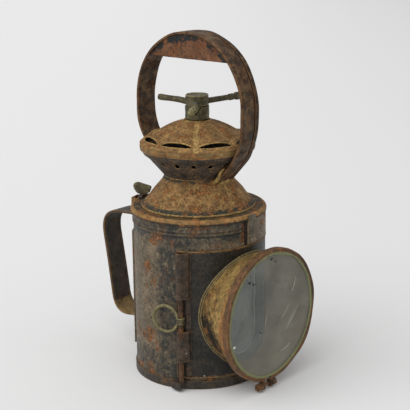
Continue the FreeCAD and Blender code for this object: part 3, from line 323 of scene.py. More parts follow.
@dataclass(frozen=True)
class Patina(Finish):
    """Weathered sheet metal: a blotched ground coat, rust in patches, worn edges, grain, pits and pale chips.

    The sizes are in metres. A piece's own wear mask shows where its edges are worn, and on a few pieces where
    a painted highlight falls. Its tone mask shows where the shade colour is laid: on some pieces as painted
    shade in grooves and creases, under beads and rolls and on a side turned from the light, and elsewhere as
    darker colour.
    """

    ground: Colour
    blotch: Colour
    rust: Colour
    rust_deep: Colour
    edge: Colour
    shade_colour: Colour = (0.02, 0.018, 0.016)
    chip: Colour = (0.45, 0.42, 0.36)
    blotch_size: float = 0.012
    rust_size: float = 0.02
    rust_cover: float = 0.4
    edge_strength: float = 0.8
    grain_size: float = 0.0036
    grain_depth: float = 2.0
    chip_share: float = 0.03
    chip_size: float = 0.006
    pit_share: float = 0.22
    pit_size: float = 0.0034
    cloud_size: float = 0.009
    cloud_depth: float = 2.2
    sheen: float = 0.28
    metal: float = 0.0
    smooth: float = 0.45
    rough: float = 0.85
    relief: float = 0.35

    def shade(self, graph: Graph, shader: bpy.types.Node, where: Socket) -> None:
        """Layer ground, shade, rust, edges, grain and chips, with roughness, metal and relief to match.

        Args:
            graph: The material's tree.
            shader: Its shader.
            where: Place on the piece.
        """
        def patches(size: float, cover: float, soft: float) -> Socket:
            """Mask of blotches of a size."""
            return Effect.PATCHES.use(graph, where, Scale=1.0 / size, Cover=cover, Softness=soft)["Mask"]

        def ragged(mask: str, size: float, strength: float) -> Socket:
            """The piece's own mask with a ragged border."""
            own = graph.add("ShaderNodeAttribute", attribute_name=mask).outputs["Fac"]
            return Effect.RAGGED.use(graph, where, Value=own, Scale=1.0 / size, Strength=strength)["Mask"]

        def mottled(colour: Socket, size: float, depth: float) -> bpy.types.bpy_prop_collection:
            """A colour with grain of a size, and the grain."""
            return Effect.MOTTLE.use(graph, where, Color=colour, Scale=1.0 / size, Depth=depth)

        def flecked(size: float, reach: float, share: float, under: Socket, over: Colour) -> Socket:
            """A colour under flecks of another."""
            mask = Effect.FLECKS.use(graph, where, Scale=1.0 / size, Size=reach, Share=share)["Mask"]
            return graph.blend(mask, under, over)

        shader.inputs["Specular IOR Level"].default_value = self.sheen
        ground = graph.blend(patches(self.blotch_size, cover=0.5, soft=0.12), self.ground, self.blotch)
        shaded = graph.blend(ragged("tone", size=0.006, strength=1.1), ground, self.shade_colour)
        rust = graph.blend(patches(self.rust_size * 0.22, cover=0.5, soft=0.16), self.rust_deep, self.rust)
        rusted = patches(self.rust_size, self.rust_cover, soft=0.07)
        worn = graph.maths("MULTIPLY", ragged("wear", size=0.004, strength=0.9), self.edge_strength)
        colour = graph.blend(worn, graph.blend(rusted, shaded, rust), self.edge)
        clouded = mottled(colour, self.cloud_size, self.cloud_depth)["Color"]
        pitted = flecked(self.pit_size, 0.3, self.pit_share, clouded, self.shade_colour)
        grained = mottled(pitted, self.grain_size, self.grain_depth)
        chipped = flecked(self.chip_size, 0.12, self.chip_share, grained["Color"], self.chip)
        graph.feed(shader.inputs["Base Color"], chipped)
        graph.feed(shader.inputs["Roughness"], graph.between(rusted, self.smooth, self.rough))
        if self.metal:
            graph.feed(shader.inputs["Metallic"], graph.between(rusted, self.metal, self.metal * 0.25))
        height = graph.maths("ADD", graph.maths("MULTIPLY", rusted, 0.6), grained["Grain"])
        relief = {"Strength": self.relief, "Distance": 0.0006, "Height": height}
        graph.feed(shader.inputs["Normal"], graph.add("ShaderNodeBump", relief).outputs[0])


@dataclass(frozen=True)
class DustAndReflectionGlass(Finish):
    """A pane under a pale film of dust and painted reflection of the surroundings, thicker in smears."""

    film: Colour
    smear: Colour
    cover: float = 0.2
    smear_cover: float = 0.12
    gloss: float = 0.12

    def shade(self, graph: Graph, shader: bpy.types.Node, where: Socket) -> None:
        """Let the film's cover and colour vary with the smears.

        Args:
            graph: The material's tree.
            shader: Its shader.
            where: Place on the piece.
        """
        smears = Effect.PATCHES.use(graph, where, Scale=34.0, Cover=0.45, Softness=0.2)["Mask"]
        film = graph.maths("ADD", self.cover, graph.maths("MULTIPLY", smears, self.smear_cover))
        graph.feed(shader.inputs["Base Color"], graph.blend(smears, self.film, self.smear))
        graph.feed(shader.inputs["Alpha"], film)
        shader.inputs["Roughness"].default_value = self.gloss
        shader.inputs["IOR"].default_value = 1.5


@dataclass(frozen=True)
class Plain(Finish):
    """A simple clean material whose colour varies a little between two tones."""

    light: Colour
    painted_shade: Colour
    size: float = 0.006
    roughness: float = 0.6
    metal: float = 0.0
    alpha: float = 1.0
    relief: float = 0.2

    def shade(self, graph: Graph, shader: bpy.types.Node, where: Socket) -> None:
        """Mix the two tones in patches and add a fine relief.

        Args:
            graph: The material's tree.
            shader: Its shader.
            where: Place on the piece.
        """
        mask = Effect.PATCHES.use(graph, where, Scale=1.0 / self.size, Cover=0.5, Softness=0.2)["Mask"]
        colour = graph.blend(mask, self.light, self.painted_shade)
        grained = Effect.MOTTLE.use(graph, where, Color=colour, Scale=4.0 / self.size, Depth=0.35)
        graph.feed(shader.inputs["Base Color"], grained["Color"])
        relief = {"Strength": self.relief, "Distance": 0.0004, "Height": grained["Grain"]}
        graph.feed(shader.inputs["Normal"], graph.add("ShaderNodeBump", relief).outputs[0])
        shader.inputs["Roughness"].default_value = self.roughness
        shader.inputs["Metallic"].default_value = self.metal
        shader.inputs["Alpha"].default_value = self.alpha


DARK_PAINT = Patina("worn_dark_paint", "dark_paint", tint(92, 81, 64), tint(111, 97, 77), tint(136, 86, 48),
                    tint(80, 60, 42), tint(116, 90, 60), tint(46, 46, 42), blotch_size=0.015, rust_size=0.016,
                    rust_cover=0.27, grain_size=0.0022, grain_depth=4.2, chip_share=0.1, chip_size=0.0055,
                    chip=tint(196, 186, 160), edge_strength=0.6, cloud_depth=1.1, pit_share=0.24, smooth=0.5)
FOOT_PAINT = Patina("foot_paint", "dark_paint", tint(52, 48, 42), tint(66, 58, 48), tint(104, 72, 44),
                    tint(60, 48, 36), tint(104, 78, 52), tint(34, 33, 33), blotch_size=0.014, rust_size=0.014,
                    rust_cover=0.2, grain_depth=3.0, edge_strength=0.55, cloud_depth=1.3)
STRAP_PAINT = Patina("strap_paint", "dark_paint", tint(84, 78, 64), tint(98, 88, 70), tint(110, 80, 52),
                     tint(66, 54, 42), tint(128, 104, 72), tint(38, 36, 32), blotch_size=0.01,
                     rust_size=0.012, rust_cover=0.16, grain_depth=3.4, chip_share=0.06, chip_size=0.004)
DOOR_PAINT = Patina("door_paint", "dark_paint", tint(34, 33, 30), tint(46, 42, 36), tint(88, 60, 36),
                    tint(52, 42, 32), tint(98, 76, 50), tint(28, 27, 26), blotch_size=0.017, rust_size=0.02,
                    rust_cover=0.2, grain_size=0.0028, grain_depth=4.2, edge_strength=0.6, chip_share=0.04,
                    chip_size=0.007, chip=tint(190, 182, 162), smooth=0.42, cloud_depth=1.6)
CONE_RUST = Patina("ochre_rust", "rusty_tin", tint(140, 106, 62), tint(106, 84, 50), tint(150, 96, 52),
                   tint(92, 68, 40), tint(168, 138, 84), tint(50, 49, 39), chip=tint(222, 204, 156),
                   blotch_size=0.008, rust_size=0.008, rust_cover=0.36, grain_size=0.0018, grain_depth=4.6,
                   chip_share=0.22, chip_size=0.0034, smooth=0.7, rough=0.9, relief=0.6)
RIM_RUST = Patina("orange_rim", "rusty_tin", tint(124, 98, 58), tint(98, 80, 50), tint(142, 94, 50),
                  tint(84, 62, 40), tint(160, 116, 66), tint(54, 46, 36), blotch_size=0.008, rust_size=0.011,
                  rust_cover=0.38, chip_share=0.12, chip_size=0.0045, chip=tint(200, 172, 114), smooth=0.65)
SOOT = Patina("sooty_bowl", "sooty_tin", tint(54, 48, 42), tint(84, 70, 54), tint(104, 78, 52),
              tint(58, 47, 37), tint(140, 110, 72), blotch_size=0.007, rust_size=0.007, rust_cover=0.32,
              grain_size=0.002, grain_depth=4.4, chip_share=0.16, chip_size=0.004,
              chip=tint(176, 152, 112), smooth=0.6)
HOOP_IRON = Patina("hoop_iron", "hoop_iron", tint(59, 45, 32), tint(91, 69, 45), tint(88, 58, 36),
                   tint(48, 39, 30), tint(110, 76, 46), tint(18, 15, 13), blotch_size=0.009, rust_size=0.012,
                   rust_cover=0.34, chip_share=0.04, sheen=0.2, smooth=0.5)
GRIP_RUST = Patina("grip_rust", "grip_rust", tint(112, 76, 52), tint(92, 64, 44), tint(122, 76, 46),
                   tint(84, 56, 38), tint(80, 54, 38), tint(34, 36, 36), blotch_size=0.006, rust_size=0.008,
                   chip_share=0.1, chip_size=0.004, smooth=0.8)
HANDLE_PAINT = Patina("handle_paint", "handle_paint", tint(46, 41, 35), tint(60, 50, 40), tint(88, 66, 42),
                      tint(52, 43, 34), tint(112, 84, 52), tint(116, 94, 56), blotch_size=0.012,
                      rust_size=0.016, rust_cover=0.24, chip_share=0.0, pit_share=0.0, smooth=0.5)
HOOD_BRASS = Patina("hood_brass", "hood_brass", tint(156, 126, 74), tint(124, 104, 62), tint(140, 90, 48),
                    tint(84, 68, 44), tint(150, 98, 52), tint(44, 40, 34), blotch_size=0.011, rust_size=0.017,
                    rust_cover=0.34, grain_depth=3.0, chip_share=0.12, chip_size=0.005, metal=0.2,
                    smooth=0.55)
BEAD_OLIVE = Patina("olive_bead", "hood_brass", tint(94, 86, 62), tint(78, 70, 50), tint(96, 70, 42),
                    tint(62, 52, 38), tint(128, 112, 76), blotch_size=0.006, rust_size=0.009, rust_cover=0.3)
CLAMP_RUST = Patina("clamp_rust", "rusty_tin", tint(102, 72, 44), tint(82, 59, 38), tint(126, 82, 46),
                    tint(64, 47, 32), tint(134, 94, 54), tint(40, 34, 27), blotch_size=0.008, rust_size=0.012,
                    rust_cover=0.28, edge_strength=0.4, chip_share=0.08, chip_size=0.004, smooth=0.6)
BRASS = Patina("olive_brass", "aged_brass", tint(94, 87, 61), tint(68, 63, 45), tint(74, 62, 40),
               tint(50, 46, 34), tint(128, 120, 84), tint(50, 46, 34), chip=tint(156, 148, 112),
               blotch_size=0.006, rust_size=0.009, rust_cover=0.34, metal=0.2, smooth=0.45, rough=0.7)
GUIDE_TIN = Patina("guide_tin", "guide_tin", tint(52, 44, 36), tint(68, 55, 42), tint(90, 62, 40),
                   tint(52, 41, 31), tint(100, 74, 50), tint(26, 23, 21), blotch_size=0.009, rust_size=0.012,
                   rust_cover=0.24, grain_depth=3.0, edge_strength=0.5, chip_share=0.09, chip_size=0.005)
STEEL = Patina("dull_steel", "plain_steel", tint(118, 112, 102), tint(94, 86, 76), tint(108, 72, 46),
               tint(72, 54, 40), tint(140, 130, 114), rust_cover=0.35, rust_size=0.008, metal=0.5, smooth=0.5)
TUBE_TIN = Plain("tube_tin", "tube_tin", tint(104, 116, 122), tint(92, 104, 110), roughness=0.7)
HOOD_LINING = Plain("hood_lining", "hood_brass", tint(146, 130, 102), tint(120, 106, 82), size=0.016,
                    roughness=0.8)
LENS_WALL = Plain("lens_wall", "tube_tin", tint(142, 154, 158), tint(130, 142, 146), size=0.012)
# Pale colour of a painted highlight along the hood lining's edge, also given to one pale speck on the pane.
HIGHLIGHT_AND_CHIP = Plain("painted_highlight_and_chip", "plain_steel", tint(206, 208, 200), tint(180, 182, 176), roughness=0.5)
PALE_MARK = Plain("pale_mark", "old_putty", tint(206, 204, 190), tint(190, 188, 172), roughness=0.8, alpha=0.5)
TRAY_TIN = Patina("tray_tin", "tray_tin", tint(130, 124, 112), tint(104, 96, 84), tint(112, 76, 50),
                  tint(76, 58, 44), tint(150, 142, 126), rust_cover=0.32, metal=0.4)
# The front pane's pale film is dust and a painted reflection of the surroundings.
FRONT_GLASS = DustAndReflectionGlass("dust_and_reflection_glass", "clear_glass", tint(128, 132, 126), tint(150, 150, 138))
LENS_GLASS = DustAndReflectionGlass("bulls_eye_glass", "clear_glass", tint(140, 153, 156), tint(153, 162, 161), cover=0.8)
RUBY = Plain("ruby_glass", "ruby_glass", tint(176, 30, 28), tint(140, 18, 20), roughness=0.1, alpha=0.55)
EMERALD = Plain("emerald_glass", "emerald_glass", tint(30, 140, 84), tint(20, 108, 64), roughness=0.1,
                alpha=0.55)
PUTTY = Plain("old_putty", "old_putty", tint(120, 126, 88), tint(104, 102, 70), size=0.004, roughness=0.85)
SOLDER = Plain("yellow_solder", "grey_solder", tint(172, 136, 66), tint(116, 98, 60), size=0.004)
GREY_SOLDER = Plain("grey_solder", "grey_solder", tint(146, 134, 118), tint(98, 84, 70), size=0.003)
# Colour of the sheet that paints the shadow beside the strap, and of the dirt specks on the pane.
SHADOW_AND_DIRT = Plain("painted_shadow_and_dirt", "dark_paint", tint(34, 30, 24), tint(24, 22, 19), roughness=0.9)
MIRROR = Plain("dish_mirror", "dish_mirror", tint(216, 212, 202), tint(190, 184, 170), roughness=0.2,
               metal=1.0)
TALLOW = Plain("tallow", "tallow", tint(232, 222, 192), tint(220, 208, 174), roughness=0.5)
COTTON = Plain("wick_cotton", "wick_cotton", tint(62, 56, 50), tint(36, 32, 30), size=0.001, roughness=0.9)


def quads(rows: int, columns: int, wrap_rows: bool = False, wrap_columns: bool = False) -> Points:
    """Faces of a grid of points, four point numbers each.

    Args:
        rows: Number of rows of points.
        columns: Number of points in a row.
        wrap_rows: Whether the last row joins the first.
        wrap_columns: Whether each row closes on itself.

    Returns:
        The faces.
    """
    row = np.arange(rows if wrap_rows else rows - 1)[:, None]
    column = np.arange(columns if wrap_columns else columns - 1)
    above, right = (row + 1) % rows, (column + 1) % columns
    row, above = row * columns, above * columns
    return np.stack([row + column, row + right, above + right, above + column], -1).reshape(-1, 4)


def ripple(points: Points, amount: float, size: float, seed: int) -> Points:
    """Shift points along a smooth field: the sum of a few sine waves in seeded directions.

    Args:
        points: Points of any grid, in millimetres.
        amount: About how far points move.
        size: About how long a wave is.
        seed: Number that fixes the waves.

    Returns:
        The shifted points.
    """
    count = 6
    draw = np.random.default_rng(seed)
    waves = draw.normal(size=(count, 3)) * 2.0 * math.pi / (size * math.sqrt(3.0))
    shifts = draw.normal(size=(count, 3)) / math.sqrt(count)
    phases = draw.uniform(0.0, 2.0 * math.pi, count)
    return points + amount * np.sin(points @ waves.T + phases) @ shifts


def rounded(corners: Sequence, radius: Any, steps: int = 4, closed: bool = True) -> Points:
    """An outline whose corners are eased: each corner is a parabola between points on its two sides.

    One more point follows on the flat at each end of a corner, so that wear stays at the corners.

    Args:
        corners: Corner points in the plane.
        radius: How far from each corner the easing starts, at most 0.45 of a side, or 0.9 of an end side.
        steps: Stretches in each eased corner.
        closed: Whether the last corner joins the first.

    Returns:
        The points of the outline.
    """
    points = np.asarray(corners, float)
    before, after = np.roll(points, 1, 0) - points, np.roll(points, -1, 0) - points
    length_before, length_after = np.linalg.norm(before, axis=1), np.linalg.norm(after, axis=1)
    room_before, room_after = 0.45 * length_before, 0.45 * length_after
    if not closed:
        room_before[1] *= 2.0
        room_after[-2] *= 2.0
    reach = np.minimum(radius, np.minimum(room_before, room_after))
    if not closed:
        reach[[0, -1]] = 0.0
    first = points + before * (reach / length_before)[:, None]
    last = points + after * (reach / length_after)[:, None]
    lead = points + before * (np.minimum(reach + FLANK, 1.06 * room_before) / length_before)[:, None]
    trail = points + after * (np.minimum(reach + FLANK, 1.06 * room_after) / length_after)[:, None]
    share = np.linspace(0.0, 1.0, steps + 1)[:, None]
    eased = ((1 - share) ** 2 * first[:, None] + 2 * share * (1 - share) * points[:, None]
             + share ** 2 * last[:, None])
    flat = np.concatenate([lead[:, None], eased, trail[:, None]], 1).reshape(-1, 2)
    return flat if closed else flat[steps + 1:len(flat) - steps - 1]


def curve_through(knots: Sequence, count: int) -> Points:
    """A smooth line through knots: a cubic on each stretch, evenly sampled along its length.

    At a knot the line runs parallel to the one from the knot before to the knot after.

    Args:
        knots: Points that the line passes through.
        count: Number of points on it.

    Returns:
        The points of the line.
    """
    points = np.asarray(knots, float)
    padded = np.vstack([2 * points[0] - points[1], points, 2 * points[-1] - points[-2]])
    share = np.linspace(0.0, 1.0, 24, endpoint=False)[:, None]
    p0, p1, p2, p3 = (padded[i:len(padded) - 3 + i, None] for i in range(4))
    cubic = 0.5 * (2 * p1 + (p2 - p0) * share + (2 * p0 - 5 * p1 + 4 * p2 - p3) * share ** 2
                   + (3 * p1 - p0 - 3 * p2 + p3) * share ** 3)
    return resampled(np.vstack([cubic.reshape(-1, points.shape[1]), points[-1:]]), count)


def lengths(path: Points) -> Points:
    """Distance along a broken line at each of its points."""
    return np.concatenate([[0.0], np.cumsum(np.linalg.norm(np.diff(path, axis=0), axis=1))])


def resampled(path: Points, count: int) -> Points:
    """Points spaced evenly along a broken line.

    Args:
        path: Points of the line.
        count: Number of new points.

    Returns:
        The new points.
    """
    along = lengths(path)
    marks = np.linspace(0.0, along[-1], count)
    return np.stack([np.interp(marks, along, path[:, i]) for i in range(path.shape[1])], -1)


def unit(vectors: Points) -> Points:
    """Vectors brought to a length of one."""
    return vectors / np.linalg.norm(vectors, axis=-1, keepdims=True)


def thickened(line: Points, gauge: float) -> Points:
    """A closed outline of sheet along a line: the line, then back along its left side by the gauge.

    Args:
        line: Points of the line in the plane.
        gauge: Thickness of the sheet.

    Returns:
        The points of the outline.
    """
    heading = unit(np.gradient(line, axis=0))
    left = np.stack([-heading[:, 1], heading[:, 0]], -1)
    return np.vstack([line, (line + gauge * left)[::-1]])


def corner_wear(outline: Points) -> Points:
    """Where a closed outline turns outwards sharply, from 0 on flats to 1 at corners.

    Args:
        outline: Points of the outline.

    Returns:
        The share at each point.
    """
    before, after = outline - np.roll(outline, 1, 0), np.roll(outline, -1, 0) - outline
    turn = np.arctan2(before[:, 0] * after[:, 1] - before[:, 1] * after[:, 0], (before * after).sum(1))
    wound = np.sign(turn.sum()) or 1.0
    return np.clip(turn * wound / math.radians(14.0), 0.0, 1.0)


def around(azimuth: Points, radius: Points, height: Points) -> Points:
    """Points about the body's axis, from azimuth in degrees, radius and height."""
    turn, radius, height = np.broadcast_arrays(np.radians(azimuth), radius, height)
    return np.stack([radius * np.sin(turn), -radius * np.cos(turn), height], -1)


def facing(azimuth: Points) -> Points:
    """Level direction away from the body's axis at an azimuth in degrees."""
    return around(azimuth, 1.0, 0.0)


def all_round(steps: int) -> Points:
    """Angles in degrees, evenly spread over a full turn."""
    return np.linspace(0.0, FULL_TURN, steps, endpoint=False)


def towards(angle: Points, lit: float) -> Points:
    """Share by which angles in degrees point towards one: the cosine between, or nought on the far side."""
    return np.clip(np.cos(np.radians(angle - lit)), 0.0, None)


def fade(distance: Points, length: float, top: float = 1.0) -> Points:
    """Share that falls from 1 at no distance to 0 at a length, held to a top."""
    return np.clip(1.0 - distance / length, 0.0, top)


def beside_thirds(azimuth: Points, first: float, radius: float) -> Points:
    """Sideways distance on a circle from the nearest of three even marks, the first at an azimuth."""
    offset = (azimuth - first + THIRD_TURN / 2) % THIRD_TURN - THIRD_TURN / 2
    return radius * np.abs(np.sin(np.radians(offset)))


def profiles(radius: Points, height: Points) -> Points:
    """Profiles (radius, height), one for each angle, from coordinates for each or for all."""
    return np.stack(np.broadcast_arrays(radius, height), -1)


@dataclass
class Turning:
    """A line about which profiles are turned: a profile's height runs along the axis from the origin."""

    origin: Points = field(default_factory=lambda: ORIGIN)
    axis: Points = field(default_factory=lambda: Z_AXIS)
    side: Points = field(default_factory=lambda: X_AXIS)

    def outward(self, angle: Points) -> Points:
        """Directions away from the line at angles in degrees: cos side + sin cross."""
        turn = np.radians(angle)[..., None]
        return np.cos(turn) * self.side + np.sin(turn) * np.cross(self.axis, self.side)

    def points(self, angle: Points, radius: Points, height: Points) -> Points:
        """Points about the line at angles in degrees: origin + radius x outward + height x axis."""
        radius, height = np.asarray(radius)[..., None], np.asarray(height)[..., None]
        return self.origin + radius * self.outward(angle) + height * self.axis


LENS_AXIS = Turning(np.array([0.0, 0.0, LENS_HEIGHT]), -Y_AXIS, X_AXIS)
UPRIGHT = Turning()


@dataclass
class Maker:
    """Puts pieces of one rigid body into the scene, with their finishes."""

    body: str

    def piece(self, name: str, finish: Finish, points: Points, faces: Points, nodes: Sequence[str] = (),
              masks: Optional[dict] = None, closed: bool = True, gauge: float = 0.0,
              sharp: float = 38.0) -> Piece:
        """Make one piece from points and faces.

        Args:
            name: Name of the piece.
            finish: Its finish.
            points: Points of any grid shape, in millimetres.
            faces: Four point numbers for each face.
            nodes: Solids that it stands for.
            masks: Mask name to a value for each point.
            closed: Whether it is a closed skin, whose faces are turned outwards.
            gauge: Thickness that an open sheet is given, inwards.
            sharp: Angle in degrees above which an edge stays sharp.

        Returns:
            The finished piece.
        """
        mesh = bpy.data.meshes.new(name)
        flat = np.ascontiguousarray(points.reshape(-1, 3) * MM, dtype=np.float32)
        mesh.vertices.add(len(flat))
        mesh.vertices.foreach_set("co", flat.ravel())
        mesh.loops.add(faces.size)
        mesh.loops.foreach_set("vertex_index", faces.astype(np.int32).ravel())
        mesh.polygons.add(len(faces))
        mesh.polygons.foreach_set("loop_start", np.arange(0, faces.size, 4, dtype=np.int32))
        mesh.update(calc_edges=True)
        for mask, given in (masks or {}).items():
            values = np.broadcast_to(given, points.shape[:-1]).astype(np.float32).ravel()
            mesh.attributes.new(mask, "FLOAT", "POINT").data.foreach_set("value", values)
        self.close(mesh, closed)
        mesh.set_sharp_from_angle(angle=math.radians(sharp))
        made = bpy.data.objects.new(name, mesh)
        bpy.context.scene.collection.objects.link(made)
        if gauge:
            wall = made.modifiers.new("sheet", "SOLIDIFY")
            wall.thickness = gauge * MM
            wall.offset = -1.0
        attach(made, self.body)
        if nodes:
            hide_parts(*nodes)
        finish.dress(made)
        LOG.info("%s rides on %s", name, self.body)
        return made

    @staticmethod
    def close(mesh: bpy.types.Mesh, closed: bool) -> None:
        """Merge doubled points, drop empty faces and, on a closed skin, turn the faces outwards.

        Args:
            mesh: The mesh.
            closed: Whether it is a closed skin.
        """
        work = bmesh.new()
        work.from_mesh(mesh)
        bmesh.ops.remove_doubles(work, verts=work.verts, dist=MERGE)
        bmesh.ops.dissolve_degenerate(work, edges=work.edges, dist=MERGE)
        if closed:
            bmesh.ops.recalc_face_normals(work, faces=work.faces)
        work.to_mesh(mesh)
        work.free()
        mesh.shade_smooth()

    def turned(self, name: str, finish: Finish, outline: Points, turning: Turning = UPRIGHT,
               nodes: Sequence[str] = (), steps: int = 144, wave: tuple = (0.0, 30.0, 1),
               masks: Optional[dict] = None) -> Piece:
        """A closed profile turned right round an axis, rippled a little.

        Args:
            name: Name of the piece.
            finish: Its finish.
            outline: Closed profile (radius, height), or one for each angle.
            turning: The axis.
            nodes: Solids that it stands for.
            steps: Number of angles.
            wave: Amount, size and seed of the ripple.
            masks: Masks besides the wear, which follows the profile's corners.

        Returns:
            The piece.
        """
        points = ripple(turning.points(all_round(steps)[:, None], outline[..., 0], outline[..., 1]), *wave)
        section = outline if outline.ndim == 2 else outline[0]
        held = {"wear": corner_wear(section), **(masks or {})}
        return self.piece(name, finish, points, quads(steps, points.shape[1], True, True), nodes, held)

    def carried(self, name: str, finish: Finish, path: Points, side: Points, up: Points, outline: Points,
                nodes: Sequence[str] = (), cap: Cap = Cap.FAN, loop: bool = False,
                wave: tuple = (0.0, 30.0, 1), masks: Optional[dict] = None) -> Piece:
        """A closed profile carried along a path: path + first coordinate x side + second coordinate x up.

        Args:
            name: Name of the piece.
            finish: Its finish.
            path: Points of the path.
            side: Direction of the profile's first coordinate at each point, or one for all.
            up: Direction of its second coordinate.
            outline: Profile points, or one profile for each point of the path.
            nodes: Solids that it stands for.
            cap: How the ends are closed.
            loop: Whether the path closes on itself.
            wave: Amount, size and seed of the ripple.
            masks: Masks besides the wear, which follows the profile's corners.

        Returns:
            The piece.
        """
        side, up = (np.broadcast_to(given, path.shape)[:, None] for given in (side, up))
        sections = outline if outline.ndim == 3 else outline[None]
        points = path[:, None] + sections[..., :1] * side + sections[..., 1:] * up
        held = {"wear": corner_wear(sections[0]), **(masks or {})}
        rows, columns = points.shape[:2]
        if cap is Cap.FAN and not loop:
            points = np.concatenate([np.repeat(points[:1].mean(1, keepdims=True), columns, 1), points,
                                     np.repeat(points[-1:].mean(1, keepdims=True), columns, 1)])
            held = {mask: np.pad(np.broadcast_to(given, (rows, columns)), ((1, 1), (0, 0)), mode="edge")
                    for mask, given in held.items()}
            rows += 2
        faces = quads(rows, columns, loop, True)
        if cap is Cap.STRIP and not loop:
            pair = np.arange(columns // 2 - 1)
            lid = np.stack([pair, pair + 1, columns - 2 - pair, columns - 1 - pair], -1)
            faces = np.concatenate([faces, lid, lid + (rows - 1) * columns])
        return self.piece(name, finish, ripple(points, *wave), faces, nodes, held)

    def sheet(self, name: str, finish: Finish, points: Points, gauge: float, nodes: Sequence[str] = (),
              masks: Optional[dict] = None) -> Piece:
        """An open grid of points, given a thickness on its inner side."""
        return self.piece(name, finish, points, quads(*points.shape[:2]), nodes, masks, False, gauge)

    def slit(self, name: str, finish: Finish, lower: Points, upper: Points, nodes: Sequence[str], masks: dict,
             gauge: float, wave: tuple = (0.0, 30.0, 1)) -> Piece:
        """A sheet of two bands that share a border where they touch and leave openings where they part.

        Args:
            name: Name of the piece.
            finish: Its finish.
            lower: Grid of the first band, whose last row is the border.
            upper: Grid of the second band, whose first row is the border.
            nodes: Solids that it stands for.
            masks: Masks for both bands, stacked row on row.
            gauge: Thickness of the sheet.
            wave: Amount, size and seed of the ripple.

        Returns:
            The piece.
        """
        first = quads(*lower.shape[:2])
        second = quads(*upper.shape[:2]) + lower.shape[0] * lower.shape[1]
        points = ripple(np.concatenate([lower, upper]), *wave)
        return self.piece(name, finish, points, np.concatenate([first, second]), nodes, masks, False, gauge)

    def blob(self, name: str, finish: Finish, centre: Points, half: Sequence, square: float = 0.35,
             nodes: Sequence[str] = (), turn: Optional[Points] = None, wave: tuple = (0.0, 8.0, 1),
             tone: float = 0.0) -> Piece:
        """A softened block: a ball whose sines and cosines are raised to a small power.

        Args:
            name: Name of the piece.
            finish: Its finish.
            centre: Its middle.
            half: Half its size along its three directions.
            square: The power, 1 for a ball and near 0 for a block.
            nodes: Solids that it stands for.
            turn: Its three directions as rows.
            wave: Amount, size and seed of the ripple.
            tone: Share of the shade colour on it.

        Returns:
            The piece.
        """
        def soft(share: Points) -> Points:
            """A sine or cosine raised to the power, its sign kept."""
            return np.sign(share) * np.abs(share) ** square

        rows, columns = 25, 48
        up = np.linspace(-math.pi / 2, math.pi / 2, rows)[:, None]
        turned = np.linspace(-math.pi, math.pi, columns, endpoint=False)
        level = soft(np.cos(up))
        local = np.stack(np.broadcast_arrays(level * soft(np.cos(turned)), level * soft(np.sin(turned)),
                                             soft(np.sin(up))), -1)
        points = centre + (local * np.asarray(half)) @ (np.eye(3) if turn is None else turn)
        wear = (np.abs(local).sum(-1) > 2.2).astype(float)
        return self.piece(name, finish, ripple(points, *wave), quads(rows, columns, False, True), nodes,
                          {"wear": wear, "tone": tone})

    def dress(self, finish: Finish, *nodes: str) -> None:
        """Give solids that keep their own shape a finish."""
        finish.dress(*(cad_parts[node] for node in nodes))
        LOG.info("%s dressed as %s", ", ".join(nodes), finish.name)


def band(outer: float, inner: float, low: float, high: float, ease: float) -> Points:
    """Closed profile of a ring of rectangular section with eased corners."""
    return rounded([(inner, low), (outer, low), (outer, high), (inner, high)], ease)


def beads(count: int, radius: float) -> Points:
    """Closed profile of a round wire."""
    turn = np.radians(all_round(count))
    return radius * np.stack([np.cos(turn), np.sin(turn)], -1)


